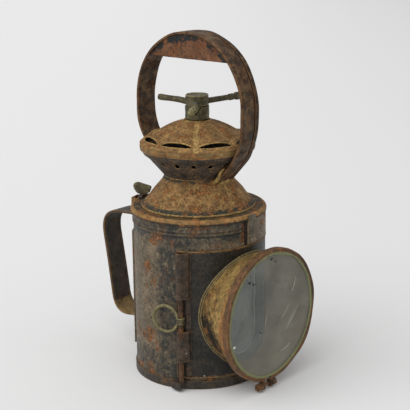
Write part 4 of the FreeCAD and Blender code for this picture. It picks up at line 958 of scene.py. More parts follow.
@dataclass
class Body(Maker):
    """Foot, round shell with its bead, flange and the plates soldered to the shell."""

    body: str = "body"
    radius: float = 60.0
    gauge: float = 1.0
    foot_radius: float = 61.05
    foot_height: float = 8.0
    bead_heights: tuple = (147.2, 144.5)
    bead_half: float = 1.35
    bead_rise: float = 1.1
    doorway: tuple = (-54.0, 58.0)
    doorway_low: float = 15.2
    doorway_high: float = 125.7
    foot_floor: float = 1.2
    rim_gauge: float = 2.6
    flange_inner: float = 49.0
    # Where the wall is darkened, and the height above which painted shadow lies in a strip beside the strap.
    darkening_top: float = 148.0
    darkening_floor: float = 12.0
    darkening_side: float = -66.0
    strap_shadow_top: float = 134.0
    # Azimuth, radius and height of the solder's middle, and half its size.
    hinge_solder: tuple = (3.4, 63.1, 133.4, (4.4, 1.3, 2.3))
    hasp_span: tuple = (-2.6, 6.4)
    # Width and stand off the shell of the dark sheet that paints the shadow beside the strap.
    painted_hasp_shadow: float = 2.4
    painted_hasp_shadow_stand: float = 1.5
    # Name, lowest and highest point, and inner and outer radius of each length of the strap.
    hasp_rows: tuple = (("hinge_hasp", 131.6, 153.0, 60.1, 63.2), ("hasp_fold", 153.1, 158.2, 62.8, 63.7))

    def build(self) -> None:
        """Make the shell, foot, flange and strap, and dress the plates."""
        self.shell()
        self.foot()
        self.flange()
        self.dress(DARK_PAINT, "back_plate", "hinge_plate", "hinge_leaf")
        self.dress(RIM_RUST, "catch_pocket")
        self.dress(FOOT_PAINT, "bolt_keeper")
        self.hasp()
        self.dress(STEEL, "tray_stud", "hinge_pin", "thumb_guide")

    def foot(self) -> None:
        """The foot: the section of a shallow pan turned right round."""
        core, edge, seat = 0.5, self.foot_radius, self.radius + FIT
        floor = heights("base_plate")[0]
        self.turned("foot", FOOT_PAINT, rounded([
            (core, floor), (edge, floor), (edge, self.foot_height), (seat, self.foot_height),
            (seat, self.foot_floor), (core, self.foot_floor)], 0.7), nodes=["base_plate"])

    def flange(self) -> None:
        """The flange: the section of a skirt, a rolled rim and a level ring turned right round."""
        low, top = heights("top_flange")
        seat, rim = self.radius + FIT, self.radius + FIT + self.rim_gauge
        outline = rounded([
            (seat, low), (rim - 0.7, low), (rim - 0.1, low + 1.2), (rim - 0.1, top - 2.4),
            (rim - 1.0, top - 0.7), (rim - 2.4, top - 0.2), (rim - 3.6, top - 0.7),
            (self.flange_inner, top - 0.5), (self.flange_inner, top - 1.8), (seat, top - 1.8)], 0.6)
        # The wear mask is a painted highlight over the rim's face and roll, and the tone mask is painted
        # shade along the rim's lowest edge; it also darkens the flat ring.
        reach, height = outline.T
        roll = (reach > rim - 3.2) & (height > low + 2.0)
        ring = (reach <= rim - 3.2) & (height > top - 1.2)
        skirt = (reach > rim - 2.0) & (height < low + 1.8)
        self.turned("flange", RIM_RUST, outline, nodes=["top_flange"], wave=(0.1, 30.0, 4),
                    masks={"wear": 0.5 * roll, "tone": 0.6 * ring + 0.8 * skirt})

    def hasp(self) -> None:
        """The strap over the hinge plate and its fold over the flange: a ring sector carried upwards."""
        start, end = self.hasp_span
        steps = 12
        turn = np.concatenate([np.linspace(start, end, steps), np.linspace(end, start, steps)])
        edge = np.zeros(2 * steps)
        edge[[0, steps - 1]] = 0.7
        # The inner face of each length is darkened by the tone mask as painted shade.
        for name, low, high, inner, outer in self.hasp_rows:
            radius = np.repeat([outer, inner], steps)
            outline = around(turn, radius, 0.0)[:, :2]
            path = np.linspace(low, high, 24)[:, None] * Z_AXIS
            self.carried(name, STRAP_PAINT, path, X_AXIS, Y_AXIS, outline, cap=Cap.STRIP,
                         wave=(0.08, 14.0, 32), masks={"wear": edge, "tone": 0.6 * (radius == inner)})
        # A dark sheet standing just off the shell, on the -X side of the strap, is painted shadow.
        turn = np.linspace(start - self.painted_hasp_shadow, start - 0.1, 8)
        height = np.linspace(*self.hasp_rows[0][1:3], 24)[:, None]
        self.sheet("painted_hasp_shadow", SHADOW_AND_DIRT, around(turn, self.radius + self.painted_hasp_shadow_stand, height), 0.6)
        turn, radius, height, half = self.hinge_solder
        across, outward = facing(turn + 90.0), facing(turn)
        self.blob("hinge_solder", GREY_SOLDER, radius * outward + height * Z_AXIS, half, 0.7,
                  turn=np.stack([across, outward, Z_AXIS]), wave=(0.5, 5.0, 44))

    def shell(self) -> None:
        """The round wall: a radius for each height, swelling at two fine ridges, with a hole for the door."""
        low, high = heights("body_shell")
        start, end = self.doorway
        azimuth = np.concatenate([np.linspace(-180.0, start, 61)[:-1], np.linspace(start, end, 57)[:-1],
                                  np.linspace(end, 180.0, 62)])
        height = np.concatenate([np.linspace(low, self.doorway_low, 7)[:-1],
                                 np.linspace(self.doorway_low, self.doorway_high, 40)[:-1],
                                 np.linspace(self.doorway_high, high, 79)])
        away = np.abs(height[:, None] - np.array(self.bead_heights)).min(1)
        bulge = self.bead_rise * np.cos(np.clip(away / self.bead_half, 0.0, 1.0) * math.pi / 2) ** 2
        points = around(azimuth, (self.radius + bulge)[:, None], height[:, None])
        faces = quads(*points.shape[:2])
        row, column = np.divmod(faces[:, 0], len(azimuth))
        inside = ((azimuth[column] >= start) & (azimuth[column] < end)
                  & (height[row] >= self.doorway_low) & (height[row] < self.doorway_high))
        wear = fade(height - low - 4.0, 8.0, 0.3) + 0.45 * (bulge > 0.7)
        # The tone mask darkens the wall towards its top, its bottom and the doorway's -X edge; it is painted
        # shade in a narrow band under the lower bead and in a strip on the -X side of the strap.
        under = np.abs(height - min(self.bead_heights) + 1.5 * self.bead_half)
        level = np.maximum(fade(self.darkening_top - height, 20.0, 0.5), fade(height - self.darkening_floor, 40.0, 0.5))
        level = np.maximum(level, 0.9 * fade(under - 0.48, 0.8))[:, None]
        by_door = fade(np.abs(azimuth - self.darkening_side), 34.0, 0.55)
        strap_shadow = fade(np.abs(azimuth - self.hasp_span[0] + 1.5) - 1.4, 1.4)
        darkening = np.maximum(np.maximum(level, by_door), strap_shadow * (height > self.strap_shadow_top)[:, None])
        self.piece("shell", DARK_PAINT, points, faces[~inside], ["body_shell"],
                   {"wear": wear[:, None], "tone": darkening}, False, self.gauge)


@dataclass
class Roof(Maker):
    """Stepped roof cone, vented bowl, cowl rim and lobed cap with a slot under each lobe."""

    body: str = "body"
    gauge: float = 1.2
    flange_top: float = 158.8
    neck_top: float = 187.0
    # Radius and height of points on the cone's, the bowl's and the dome's outlines.
    cone: tuple = ((52.5, 160.0), (50.2, 161.6), (46.9, 165.0), (41.2, 172.6), (34.7, 180.0), (31.6, 184.6),
                   (31.1, 187.0))
    bowl: tuple = ((31.1, 187.0), (38.0, 195.0), (44.3, 202.6), (49.0, 206.6), (51.2, 210.7), (51.35, 215.4))
    bowl_gauge: float = 0.6
    vent_count: int = 18
    vent_turn: float = 8.0
    vent_rise: float = 15.0
    vent_radius: float = 2.0
    vent_stretch: float = 1.5
    rim_radius: float = 52.4
    rim_low: float = 210.7
    rim_high: float = 216.4
    dome: tuple = ((51.9, 215.9), (47.0, 219.4), (41.0, 221.9), (27.5, 228.9), (18.0, 233.2), (11.0, 235.6))
    hub_radius: float = 5.6
    lobes: int = 8
    lobe_turn: float = -26.5
    lobe_rise: float = 1.9
    slot_radius: float = 47.2
    slot_half: float = 19.0
    slot_depth: float = 3.0
    louvre: float = 1.8
    # Azimuth and size of the painted highlight along one valley of the cap.
    highlight_turn: float = -49.0
    highlight_size: float = 220.0
    # Radius, height and thickness of the solder round the sleeve.
    solder_ring: tuple = (12.4, 236.0, 0.9)
    # Outer and inner radius, lowest and highest point of the baffle under the slots.
    baffle: tuple = (50.0, 4.0, 212.6, 213.0)

    def build(self) -> None:
        """Make the four skins and dress the bearings."""
        self.roof_cone()
        self.vented_bowl()
        rim, low, high = self.rim_radius, self.rim_low, self.rim_high
        self.turned("cowl_band", RIM_RUST, rounded([
            (rim - 1.0, low), (rim - 0.3, low - 0.3), (rim + 0.25, (low + high) / 2), (rim - 0.3, high),
            (rim - 1.0, high)], 1.2), nodes=["cowl_rim"], wave=(0.25, 30.0, 7))
        self.lobed_cap()
        self.turned("smoke_baffle", SOOT, band(*self.baffle, 0.1))
        reach, height, wire = self.solder_ring
        self.turned("sleeve_solder", SOLDER, beads(12, wire) + np.array([reach, height]), wave=(0.2, 6.0, 33))
        self.dress(SOOT, "spindle_bridge")
        self.dress(BRASS, "cap_bush")

    def roof_cone(self) -> None:
        """The cone: a smooth line through its radii, on a short upright step, thickened inwards."""
        line = np.vstack([[(self.cone[0][0], self.flange_top)], curve_through(self.cone, 56)])
        outline = thickened(line, self.gauge)
        # The tone mask is painted shade in a band at the cone's foot, over the flange, and darkens the cone
        # towards its neck.
        base = fade(outline[:, 1] - self.flange_top - 1.8, 6.0)
        neck = fade(self.neck_top - outline[:, 1], 6.0, 0.75)
        self.turned("roof_skin", CONE_RUST, outline, nodes=["roof_cone"], wave=(0.3, 26.0, 5),
                    masks={"tone": np.maximum(0.9 * base, neck)})

    def vented_bowl(self) -> None:
        """The bowl: a smooth flaring line turned round, in two bands that part at each round vent.

        At a vent the border is lifted and dropped by the square root of the vent's radius squared less the
        distance from the vent's middle squared.
        """
        pitch = FULL_TURN / self.vent_count
        line = curve_through(self.bowl, 200)
        along = lengths(line)
        vent = int(np.argmin(np.abs(line[:, 1] - self.neck_top - self.vent_rise)))
        half_angle = math.degrees(self.vent_radius / line[vent, 0])
        arc = half_angle * np.sin(np.linspace(-math.pi / 2, math.pi / 2, 17))
        gap = np.linspace(half_angle, pitch - half_angle, 9)[1:-1]
        azimuth = (np.arange(self.vent_count)[:, None] * pitch + np.concatenate([arc, gap])).ravel()
        azimuth = np.append(azimuth, azimuth[0] + FULL_TURN)
        offset = (azimuth + half_angle) % pitch - half_angle
        opened = np.sqrt(np.clip(1.0 - (offset / half_angle) ** 2, 0.0, 1.0))
        opened = self.vent_stretch * self.vent_radius * opened
        grid = np.linspace(0.0, 1.0, 26)[:, None]
        marks = (grid * (along[vent] - opened),
                 along[vent] + opened + grid * (along[-1] - along[vent] - opened))
        bands = [around(azimuth + self.vent_turn, *(np.interp(mark, along, sizes) for sizes in line.T))
                 for mark in marks]
        near = fade(np.abs(np.concatenate(marks) - along[vent]) - opened, 1.2) * (opened > 0.1)
        self.slit("vented_bowl", SOOT, *bands, ["cowl_bowl"], {"wear": 0.8 * near}, self.bowl_gauge,
                  (0.25, 28.0, 6))

    def lobed_cap(self) -> None:
        """The cap: a dome raised by the absolute cosine of half the lobe angle, sharp in its valleys.

        Two bands part at a crescent slot under each lobe, and the inner band rises over the slot as a louvre.
        """
        azimuth = np.linspace(0.0, FULL_TURN, 44 * self.lobes + 1)
        pitch = FULL_TURN / self.lobes
        offset = (azimuth + pitch / 2) % pitch - pitch / 2
        lobe = np.abs(np.cos(np.radians(offset * self.lobes / 2)))
        opened = np.sqrt(np.clip(1.0 - (offset / self.slot_half) ** 2, 0.0, 1.0))
        line = curve_through(self.dome, 240)[::-1]
        line = np.vstack([[(self.hub_radius, line[0, 1])], line])
        grid = np.linspace(0.0, 1.0, 40)[:, None]
        inner_edge = self.slot_radius - self.slot_depth * opened
        outer_edge = self.slot_radius + 0.25 * self.slot_depth * opened
        reach = (self.hub_radius + grid * (inner_edge - self.hub_radius),
                 outer_edge + grid * (line[-1, 0] - outer_edge))
        lip = fade(inner_edge - reach[0], 9.0) ** 2
        bands = []
        for radius, lift in zip(reach, (self.louvre * opened * lip, 0.0)):
            share = np.clip((radius - self.hub_radius) / (self.rim_radius - self.hub_radius), 0.0, 1.0)
            swell = self.lobe_rise * np.sin(share * math.pi) * (lobe - 0.55)
            bands.append(around(azimuth + self.lobe_turn, radius, np.interp(radius, *line.T) + swell + lift))
        mark = np.concatenate(reach)
        lips = fade(np.minimum(np.abs(mark - inner_edge), np.abs(mark - outer_edge)), 1.2) * (opened > 0.05)
        ledge = np.clip((mark - self.slot_radius) / 1.5, 0.0, 0.35)
        # A pale band down the valley at the given azimuth is a painted highlight.
        aside = (azimuth + self.lobe_turn - self.highlight_turn + 180.0) % FULL_TURN - 180.0
        painted_highlight = 0.75 * np.exp(-(aside * mark / self.highlight_size) ** 2)
        wear = np.maximum(np.maximum(0.8 * lips, 0.5 * fade(lobe, 0.55)), np.maximum(ledge, painted_highlight))
        self.slit("lobed_cap", CONE_RUST, *bands, ["cowl_cap"], {"wear": wear}, self.gauge, (0.3, 22.0, 8))


@dataclass
class Straps(Maker):
    """The carrying hoop with its half moon grip and solder, and the rear handle, all of one strap width."""

    body: str = "body"
    width: float = 23.0
    gauge: float = 2.2
    hoop_centre: tuple = (1.7, 251.1)
    hoop_radius: float = 63.8
    foot: tuple = (30.4, 183.0)
    shoulder: tuple = (52.4, 206.5)
    knee_height: float = 228.0
    leg_eases: tuple = (0.0, 5.5, 13.5, 0.0)
    groove: float = 4.8
    groove_width: float = 1.9
    groove_depth: float = 1.3
    grip_chord: float = 292.0
    grip_inset: float = 1.0
    neck_radius: float = Roof.cone[-1][0]
    solder_half: float = 13.2
    solder_height: float = 184.8
    # Distance behind the body's axis and height of the handle's corners, and how far each is eased.
    handle: tuple = ((62.85, 116.0), (62.85, 139.0), (122.3, 134.0), (104.8, 29.6), (62.85, 36.0),
                     (62.85, 56.0))
    handle_eases: tuple = (0.0, 20.0, 26.0, 19.0, 17.0, 0.0)
    drip_turn: float = -4.5
    drip_from: float = 185.0
    drip_to: float = 171.5
    drip_radius: float = 1.1
    handle_gauge: float = 2.0
    handle_roll: float = 2.4
    handle_bare: float = 38.0

    def build(self) -> None:
        """Make the straps, the grip plates and the solder."""
        self.hoop()
        self.rear_handle()
        self.grip()
        self.solder()
        self.dress(GRIP_RUST, "grip_floor")
        self.dress(HANDLE_PAINT, "handle_rivets")

    @staticmethod
    def upright(path: Points) -> tuple[Points, Points]:
        """A path in the YZ plane as points, and the direction to its left at each.

        Args:
            path: Points (y, z).

        Returns:
            The points in space and their left directions.
        """
        heading = unit(np.gradient(path, axis=0))
        flat = np.zeros(len(path))
        return np.stack([flat, *path.T], -1), np.stack([flat, -heading[:, 1], heading[:, 0]], -1)

    def hoop(self) -> None:
        """The hoop: a hemmed strap with a seam groove, along two legs, two eased knees and a half circle."""
        middle_y, middle_z = self.hoop_centre
        front, back = middle_y - self.hoop_radius, middle_y + self.hoop_radius
        lead_in = rounded([(-self.foot[0], self.foot[1]), (-self.shoulder[0], self.shoulder[1]),
                           (front, self.knee_height), (front, middle_z)], self.leg_eases, 12, False)
        lead_out = rounded([(back, middle_z), (back, self.knee_height), self.shoulder, self.foot],
                           self.leg_eases[::-1], 12, False)
        angle = np.linspace(math.pi, 0.0, 121)[1:-1]
        crown = self.hoop_centre + self.hoop_radius * np.stack([np.cos(angle), np.sin(angle)], -1)
        path, left = self.upright(resampled(np.vstack([lead_in, crown, lead_out]), 260))
        half, thick = self.width / 2, self.gauge / 2
        start, end = self.groove, self.groove + self.groove_width
        outline = rounded([
            (-half, -thick), (half, -thick), (half, thick - 0.2), (end, thick - 0.2),
            (end, thick - self.groove_depth), (start, thick - self.groove_depth), (start, thick),
            (-half, thick)], 0.7, 5)
        across, rise = outline.T
        # The tone mask is painted shade: full in the seam groove, half on the band beyond it and about a
        # third on the inner face.
        beyond = across > start
        sunk = beyond & (rise < thick - 0.45) & (across < end + 1.3)
        painted_shade = np.select([rise < -0.5 * thick, sunk, beyond], [0.35, 1.0, 0.5], 0.0)
        self.carried("hoop", HOOP_IRON, path, X_AXIS, left, outline, ["hoop_strap"], wave=(0.25, 40.0, 9),
                     masks={"tone": painted_shade})

    def rear_handle(self) -> None:
        """The handle: a strap with rolled edges along straight runs and eased bends."""
        path, left = self.upright(resampled(rounded(self.handle, self.handle_eases, 14, False), 220))
        half, thick = self.width / 2, self.handle_gauge / 2
        roll, proud = half - self.handle_roll, thick + 0.5
        outline = rounded([(-half, -proud), (-roll, -proud), (0.6 - roll, -thick), (roll - 0.6, -thick),
                           (roll, -proud), (half, -proud), (half, thick), (-half, thick)], 0.9, 5)
        low_run = fade(path[:, 2] - self.handle_bare, 8.0, 0.8)
        self.carried("handle", HANDLE_PAINT, path, X_AXIS, left, outline, ["rear_handle"],
                     wave=(0.2, 50.0, 10), masks={"tone": low_run[:, None]})

    def grip(self) -> None:
        """Two half moon plates: rows from the chord to the arc, each as wide as the circle is there."""
        middle_y, middle_z = self.hoop_centre
        radius = self.hoop_radius - self.gauge / 2 - FIT
        share = np.linspace(0.0, 1.0, 30)[:, None]
        across = np.linspace(-1.0, 1.0, 70)
        height = self.grip_chord + share * (middle_z + radius - self.grip_chord)
        reach = np.sqrt(np.clip(radius ** 2 - (height - middle_z) ** 2, 0.0, None))
        y = middle_y + across * reach
        to_arc = radius - np.hypot(y - middle_y, height - middle_z)
        paint = fade(to_arc - 2.5 - 5.0 * np.exp(-((y - 12.0) / 9.0) ** 2), 4.0, 0.85)
        bulge = 0.5 * (1.0 - across ** 2) * (1.0 - share)
        for name, sign, nodes in (("left", -1, ["grip_sides"]), ("right", 1, [])):
            x = sign * (self.width / 2 - self.grip_inset - 0.5 + bulge)
            points = np.stack(np.broadcast_arrays(x, y, height), -1)[:, ::sign]
            self.sheet(f"grip_{name}", GRIP_RUST, ripple(points, 0.2, 18.0, 11), 1.0, nodes,
                       {"tone": paint[:, ::sign], "wear": 0.8 * fade(14.0 * share, 1.0)})

    def solder(self) -> None:
        """Lumpy fillets across the feet: a round bead along the neck whose radius swells and shrinks."""
        x = np.linspace(-self.solder_half, self.solder_half, 60)
        ends = np.sqrt(np.clip(1.0 - (x / (self.solder_half + 0.2)) ** 2, 0.02, 1.0))
        for name, sign, nodes in (("front", -1.0, ["hoop_solder"]), ("back", 1.0, [])):
            y = sign * (self.neck_radius + 1.2 - x ** 2 / 70.0)
            path = np.stack([x, y, np.full_like(x, self.solder_height)], -1)
            swell = (1.9 + 0.6 * np.sin(x * 0.9 + sign) + 0.35 * np.sin(x * 2.3)) * ends
            outline = beads(16, 1.0) * swell[:, None, None] * np.array([1.0, 1.5])
            self.carried(f"solder_{name}", SOLDER, path, Y_AXIS, Z_AXIS, outline, nodes, wave=(0.5, 6.0, 12))
        share = np.linspace(0.0, 1.0, 30)
        taper = self.drip_radius * np.sqrt(np.clip(1.0 - share ** 2, 0.02, 1.0))
        bead = beads(10, 1.0) * taper[:, None, None]
        height = self.drip_from + share * (self.drip_to - self.drip_from)
        radius = np.interp(height, *np.array(Roof.cone).T[::-1])
        drip = around(self.drip_turn + 1.2 * np.sin(share * 5.0), radius, height)
        self.carried("solder_drip", SOLDER, drip, X_AXIS, Y_AXIS, bead, wave=(0.25, 5.0, 28))
        leg = 0.6 * np.subtract(self.shoulder, self.foot)
        ridge = np.stack([np.full_like(share, -self.width / 2 - 0.1), -self.foot[0] - share * leg[0],
                          self.foot[1] + 1.5 + share * leg[1]], -1)
        self.carried("solder_ridge", SOLDER, ridge, X_AXIS, Y_AXIS, 2.0 * bead, wave=(0.7, 5.0, 29))


@dataclass
class Door(Maker):
    """Curved door with wired edges, flared hood, its beads, the clamp ring and the glasses."""

    body: str = "door"
    inner: float = 60.4
    gauge: float = 1.2
    low: float = 11.0
    high: float = 130.6
    span: tuple = (-66.0, 61.0)
    base_radius: float = 43.0
    base_depth: float = 40.6
    rim_radius: float = 60.0
    front: float = 86.0
    wire: float = 0.65
    run_per_degree: float = 1.07
    darkening_turn: float = 228.0
    darkening_depth: float = 54.0
    darkening_run: float = 34.0
    shade_turn: float = 190.0
    shade_depth: float = 66.0
    rust_turn: float = 205.0
    rust_depth: float = 78.0
    rust_run: float = 14.0
    ring_shade_turn: float = 20.0
    # Name, lift off the hood, stand off the panel, thickness and solid of each bead.
    bead_rows: tuple = (("inner", 0.6, 0.5, 0.75, ("hood_bead",)), ("outer", 2.3, 0.3, 0.7, ()))
    strip: tuple = (-58.6, -54.0)
    strip_gauge: float = 0.6
    throat_inner: float = 52.0
    throat_outer: float = 60.5
    throat_highlight: float = 0.4
    lining_stand: float = 0.75
    lining_gauge: float = 0.2
    clamp_gauge: float = 1.05
    clamp_back: float = 83.0
    clamp_front: float = 88.65
    clamp_lip: float = 3.4
    split: tuple = (-91.4, 261.9)
    ear_gauge: float = 3.4
    ear_low: float = 1.8
    ear_high: float = 11.0
    split_centre: float = -5.0
    split_width: float = 7.0
    glass_gauge: float = 1.5
    lens_back: float = 27.5
    lens_edge: float = 3.0
    lens_crown: float = 4.0
    # Sideways place and height of points on each pale line, and of each speck with its size, negative if
    # pale.
    pale_lines: tuple = (
        ((34.4, 99.1), (32.6, 92.5), (28.6, 84.6)), ((38.5, 70.9), (30.0, 60.0), (19.4, 50.5)),
        ((28.0, 36.6), (20.0, 33.4), (12.4, 31.6)), ((-6.7, 72.3), (-9.0, 60.3)),
        ((24.6, 73.6), (18.6, 67.6), (12.1, 62.2)), ((33.0, 68.0), (26.0, 58.6), (21.5, 55.4)))
    pale_line_width: float = 0.28
    specks: tuple = ((-30.5, 107.9, 1.7), (-24.6, 105.3, 1.5), (-0.1, 122.4, 1.6), (5.2, 118.8, 1.1),
                     (-15.4, 58.3, 1.2), (-50.5, 54.3, -1.9))

    def build(self) -> None:
        """Make the panel, hood, clamp and glasses, and dress the small fittings."""
        self.panel()
        self.wired_edges()
        self.hood()
        self.clamp()
        self.glasses()
        self.dress(GUIDE_TIN, "door_leaf")
        self.dress(CLAMP_RUST, "clamp_screw", "clamp_nut")

    def flare(self, depth: Points, lift: float = 0.0, least: float = 0.0) -> Points:
        """Radius of the hood at a distance forward of the body's axis, lifted off it and held to a least."""
        slope = (self.rim_radius - self.base_radius) / (self.front - self.base_depth)
        return np.maximum(self.base_radius + (depth - self.base_depth) * slope + lift, least)

    def panel(self) -> None:
        """The panel: two bands of the cylinder that part where the hood goes through.

        At each azimuth the border lies above and below the lens axis by the root of the hood's radius squared
        less the sideways distance squared.
        """
        outer = self.inner + self.gauge
        azimuth = np.linspace(*self.span, 181)
        sideways, back, _ = around(azimuth, outer, 0.0).T
        opened = np.sqrt(np.clip(self.flare(-back) ** 2 - sideways ** 2, 0.0, None))
        grid = np.linspace(0.0, 1.0, 40)[:, None]
        top, bottom = LENS_HEIGHT + opened, LENS_HEIGHT - opened
        rows = (self.low + grid * (bottom - self.low), top + grid * (self.high - top))
        height = np.concatenate(rows)
        margin = np.minimum(height - self.low, self.high - height)
        margin = np.minimum(margin, self.run_per_degree * (azimuth - self.span[0]))
        self.slit("door_sheet", DOOR_PAINT, *(around(azimuth, outer, row) for row in rows), ["door_panel"],
                  {"wear": fade(margin, 4.0, 0.8)}, self.gauge)

    def wired_edges(self) -> None:
        """Round wires rolled into the left, top and bottom edges of the panel."""
        radius = self.inner + self.gauge
        turn, left = np.linspace(*self.span, 90), self.span[0]
        for name, height in (("top", self.high - self.wire), ("bottom", self.low + self.wire)):
            self.carried(f"door_wire_{name}", RIM_RUST, around(turn, radius, height), facing(turn), Z_AXIS,
                         beads(12, self.wire), wave=(0.12, 14.0, 13), masks={"wear": 0.2})
        turn = np.linspace(*self.strip, 10)
        height = np.linspace(self.low + 1.5, self.high - 1.5, 60)[:, None]
        self.sheet("door_strip", GUIDE_TIN, around(turn, radius + self.strip_gauge, height), self.strip_gauge,
                   masks={"wear": 0.6 * fade(self.strip[1] - turn, 0.9)})
        path = around(left, radius, np.linspace(self.low, self.high, 80))
        self.carried("door_wire_side", GUIDE_TIN, path, facing(left), facing(left + 90.0),
                     beads(12, self.wire * 1.15), wave=(0.12, 18.0, 14))

    def hood(self) -> None:
        """The hood, a straight flaring line turned about the lens axis, its lining and its two wire beads.

        The beads follow the saddle on which the hood crosses the panel.
        """
        outline = thickened(profiles(np.linspace(self.base_radius, self.rim_radius, 40),
                                     np.linspace(self.base_depth, self.front, 40)), self.gauge)
        angle, depth = all_round(144)[:, None], outline[:, 1]
        darkening = np.clip(1.5 * towards(angle, self.darkening_turn) - 0.35, 0.0, 1.0)
        darkening = darkening * fade(depth - self.darkening_depth, self.darkening_run)
        shade = 0.4 * (depth < self.shade_depth) * towards(angle, self.shade_turn)
        orange = 0.7 * towards(angle, self.rust_turn) * fade(self.rust_depth - depth, self.rust_run)
        self.turned("hood", HOOD_BRASS, outline, LENS_AXIS, ["lens_hood"], wave=(0.3, 30.0, 15),
                    masks={"tone": np.maximum(darkening, shade), "wear": orange})
        self.throat()
        angle = all_round(200)
        for name, lift, stand, wire, nodes in self.bead_rows:
            depth = self.saddle(angle, self.inner + self.gauge, lift)
            path = LENS_AXIS.points(angle, self.flare(depth, lift), depth + stand)
            self.carried(f"hood_wire_{name}", BEAD_OLIVE, path, LENS_AXIS.outward(angle), -Y_AXIS,
                         beads(10, wire), nodes, Cap.OPEN, True, (0.15, 12.0, 16))

    def saddle(self, angle: Points, radius: float, *skin: float) -> Points:
        """Distance forward at which a skin along the hood crosses a cylinder about the body's axis.

        The depth is the root of the cylinder's radius squared less the sideways distance squared, substituted
        again and again for the skin's radius there.

        Args:
            angle: Angles about the lens axis.
            radius: The cylinder's radius.
            skin: How far the skin is lifted off the hood, and its least radius.

        Returns:
            The depth at each angle.
        """
        depth = np.full_like(angle, radius)
        for _ in range(40):
            depth = np.sqrt(radius ** 2 - (self.flare(depth, *skin) * np.cos(np.radians(angle))) ** 2)
        return depth

    def throat(self) -> None:
        """The hood's lining: three bands that part where it crosses two cylinders, and a wire at the first.

        A point of a band lies between its two borders by an even share of the depth.
        """
        gauge = self.lining_gauge
        skin = (-self.gauge - self.lining_stand, self.base_radius - self.gauge - gauge)
        angle = np.linspace(0.0, FULL_TURN, 181)
        seat = self.lens_back + self.lens_edge + 2.6
        inner = np.maximum(self.saddle(angle, self.throat_inner, *skin), seat + gauge)
        outer = self.saddle(angle, self.throat_outer, *skin)
        share = np.linspace(0.0, 1.0, 24)[:, None]
        rows = (("lens_wall", LENS_WALL, seat, inner), ("throat_wall", TUBE_TIN, inner, outer),
                ("hood_liner", HOOD_LINING, outer, self.front - 0.1))
        for name, finish, back, fore in rows:
            depth = back + share * (fore - back)
            self.sheet(name, finish, LENS_AXIS.points(angle, self.flare(depth, *skin), depth), -gauge)
        # The pale wire at the border between the lens wall and the throat wall is a painted highlight along
        # that edge.
        angle, inner = angle[:-1], inner[:-1]
        path = LENS_AXIS.points(angle, self.flare(inner, *skin) - gauge, inner)
        self.carried("throat_highlight", HIGHLIGHT_AND_CHIP, path, LENS_AXIS.outward(angle), -Y_AXIS,
                     beads(8, self.throat_highlight), cap=Cap.OPEN, loop=True)

    def clamp(self) -> None:
        """The split ring, an L profile turned almost right round the lens axis, and its two ears."""
        inner = self.rim_radius + FIT
        outer = inner + self.clamp_gauge
        back, front, lip = self.clamp_back, self.clamp_front, outer - self.clamp_lip
        outline = rounded([
            (inner, back), (outer, back - 0.3), (outer + 0.3, self.front), (outer, front - 0.4),
            (outer - 0.8, front), (lip, front), (lip, front - 1.0), (inner, front - 1.0)], 0.7)
        angle = np.linspace(*self.split, 200)
        points = LENS_AXIS.points(angle[:, None], *outline.T)
        ends = np.repeat(points[[0, -1]].mean(1, keepdims=True), points.shape[1], 1)
        points = np.concatenate([ends[:1], points, ends[1:]])
        shade = 0.62 * towards(np.pad(angle, 1, mode="edge"), self.ring_shade_turn)
        masks = {"wear": corner_wear(outline), "tone": shade[:, None]}
        faces = quads(*points.shape[:2], False, True)
        self.piece("clamp_band", CLAMP_RUST, ripple(points, 0.2, 24.0, 17), faces, ["clamp_ring"], masks)
        depth = (back + front) / 2
        height = (self.ear_low + self.ear_high) / 2
        half = (self.ear_gauge / 2, front - depth, self.ear_high - height)
        for name, sign in (("left", -1.0), ("right", 1.0)):
            x = self.split_centre + sign * (self.split_width + self.ear_gauge) / 2
            self.blob(f"clamp_ear_{name}", CLAMP_RUST, np.array([x, -depth, height]), half, 0.45,
                      wave=(0.4, 9.0, 18), tone=0.5)

    def glasses(self) -> None:
        """Front pane, ragged putty, inner tube, convex lens and the ring that holds it."""
        face = self.front + FIT
        dusty_face = face + self.glass_gauge
        self.turned("front_pane", FRONT_GLASS, band(self.rim_radius, CORE, face, dusty_face, 0.4), LENS_AXIS,
                    ["front_glass"])
        bore = self.rim_radius + self.clamp_gauge - self.clamp_lip
        angle = all_round(144)[:, None]
        turn = np.radians(angle)
        width = 2.3 + 0.5 * np.sin(5 * turn + 1.0) + 0.35 * np.sin(11 * turn) + 0.9 * towards(angle, 180.0)
        base = rounded([(0.0, 0.0), (1.0, 0.0), (1.0, 0.75), (0.0, 0.35)], 0.25)
        ragged = profiles(bore - width * (1.0 - base[:, 0]), dusty_face + FIT + base[:, 1])
        self.turned("putty", PUTTY, ragged, LENS_AXIS, ["putty_ring"])
        wall = self.base_radius - self.gauge
        tube = band(self.base_radius, wall, self.lens_back, self.base_depth - FIT, 0.4)
        self.turned("inner_tube", TUBE_TIN, tube, LENS_AXIS, ["lens_tube"])
        rim = wall - FIT
        edge = self.lens_back + self.lens_edge
        share = np.linspace(0.0, 1.0, 24)
        crown = np.stack([rim * (1.0 - share), edge + self.lens_crown * np.sin(share * math.pi / 2)], -1)
        lens = np.array([(CORE, self.lens_back), (rim, self.lens_back), *crown[:-1], (CORE, crown[-1, 1])])
        self.turned("bulls_eye", LENS_GLASS, lens, LENS_AXIS, ["bulls_eye_lens"])
        seat = edge + 1.2
        keeper = band(rim, rim - 1.1, seat, seat + 0.8, 0.3)
        self.turned("lens_keeper", LENS_WALL, keeper, LENS_AXIS, ["lens_ring"])
        self.marks(-dusty_face - 0.04)

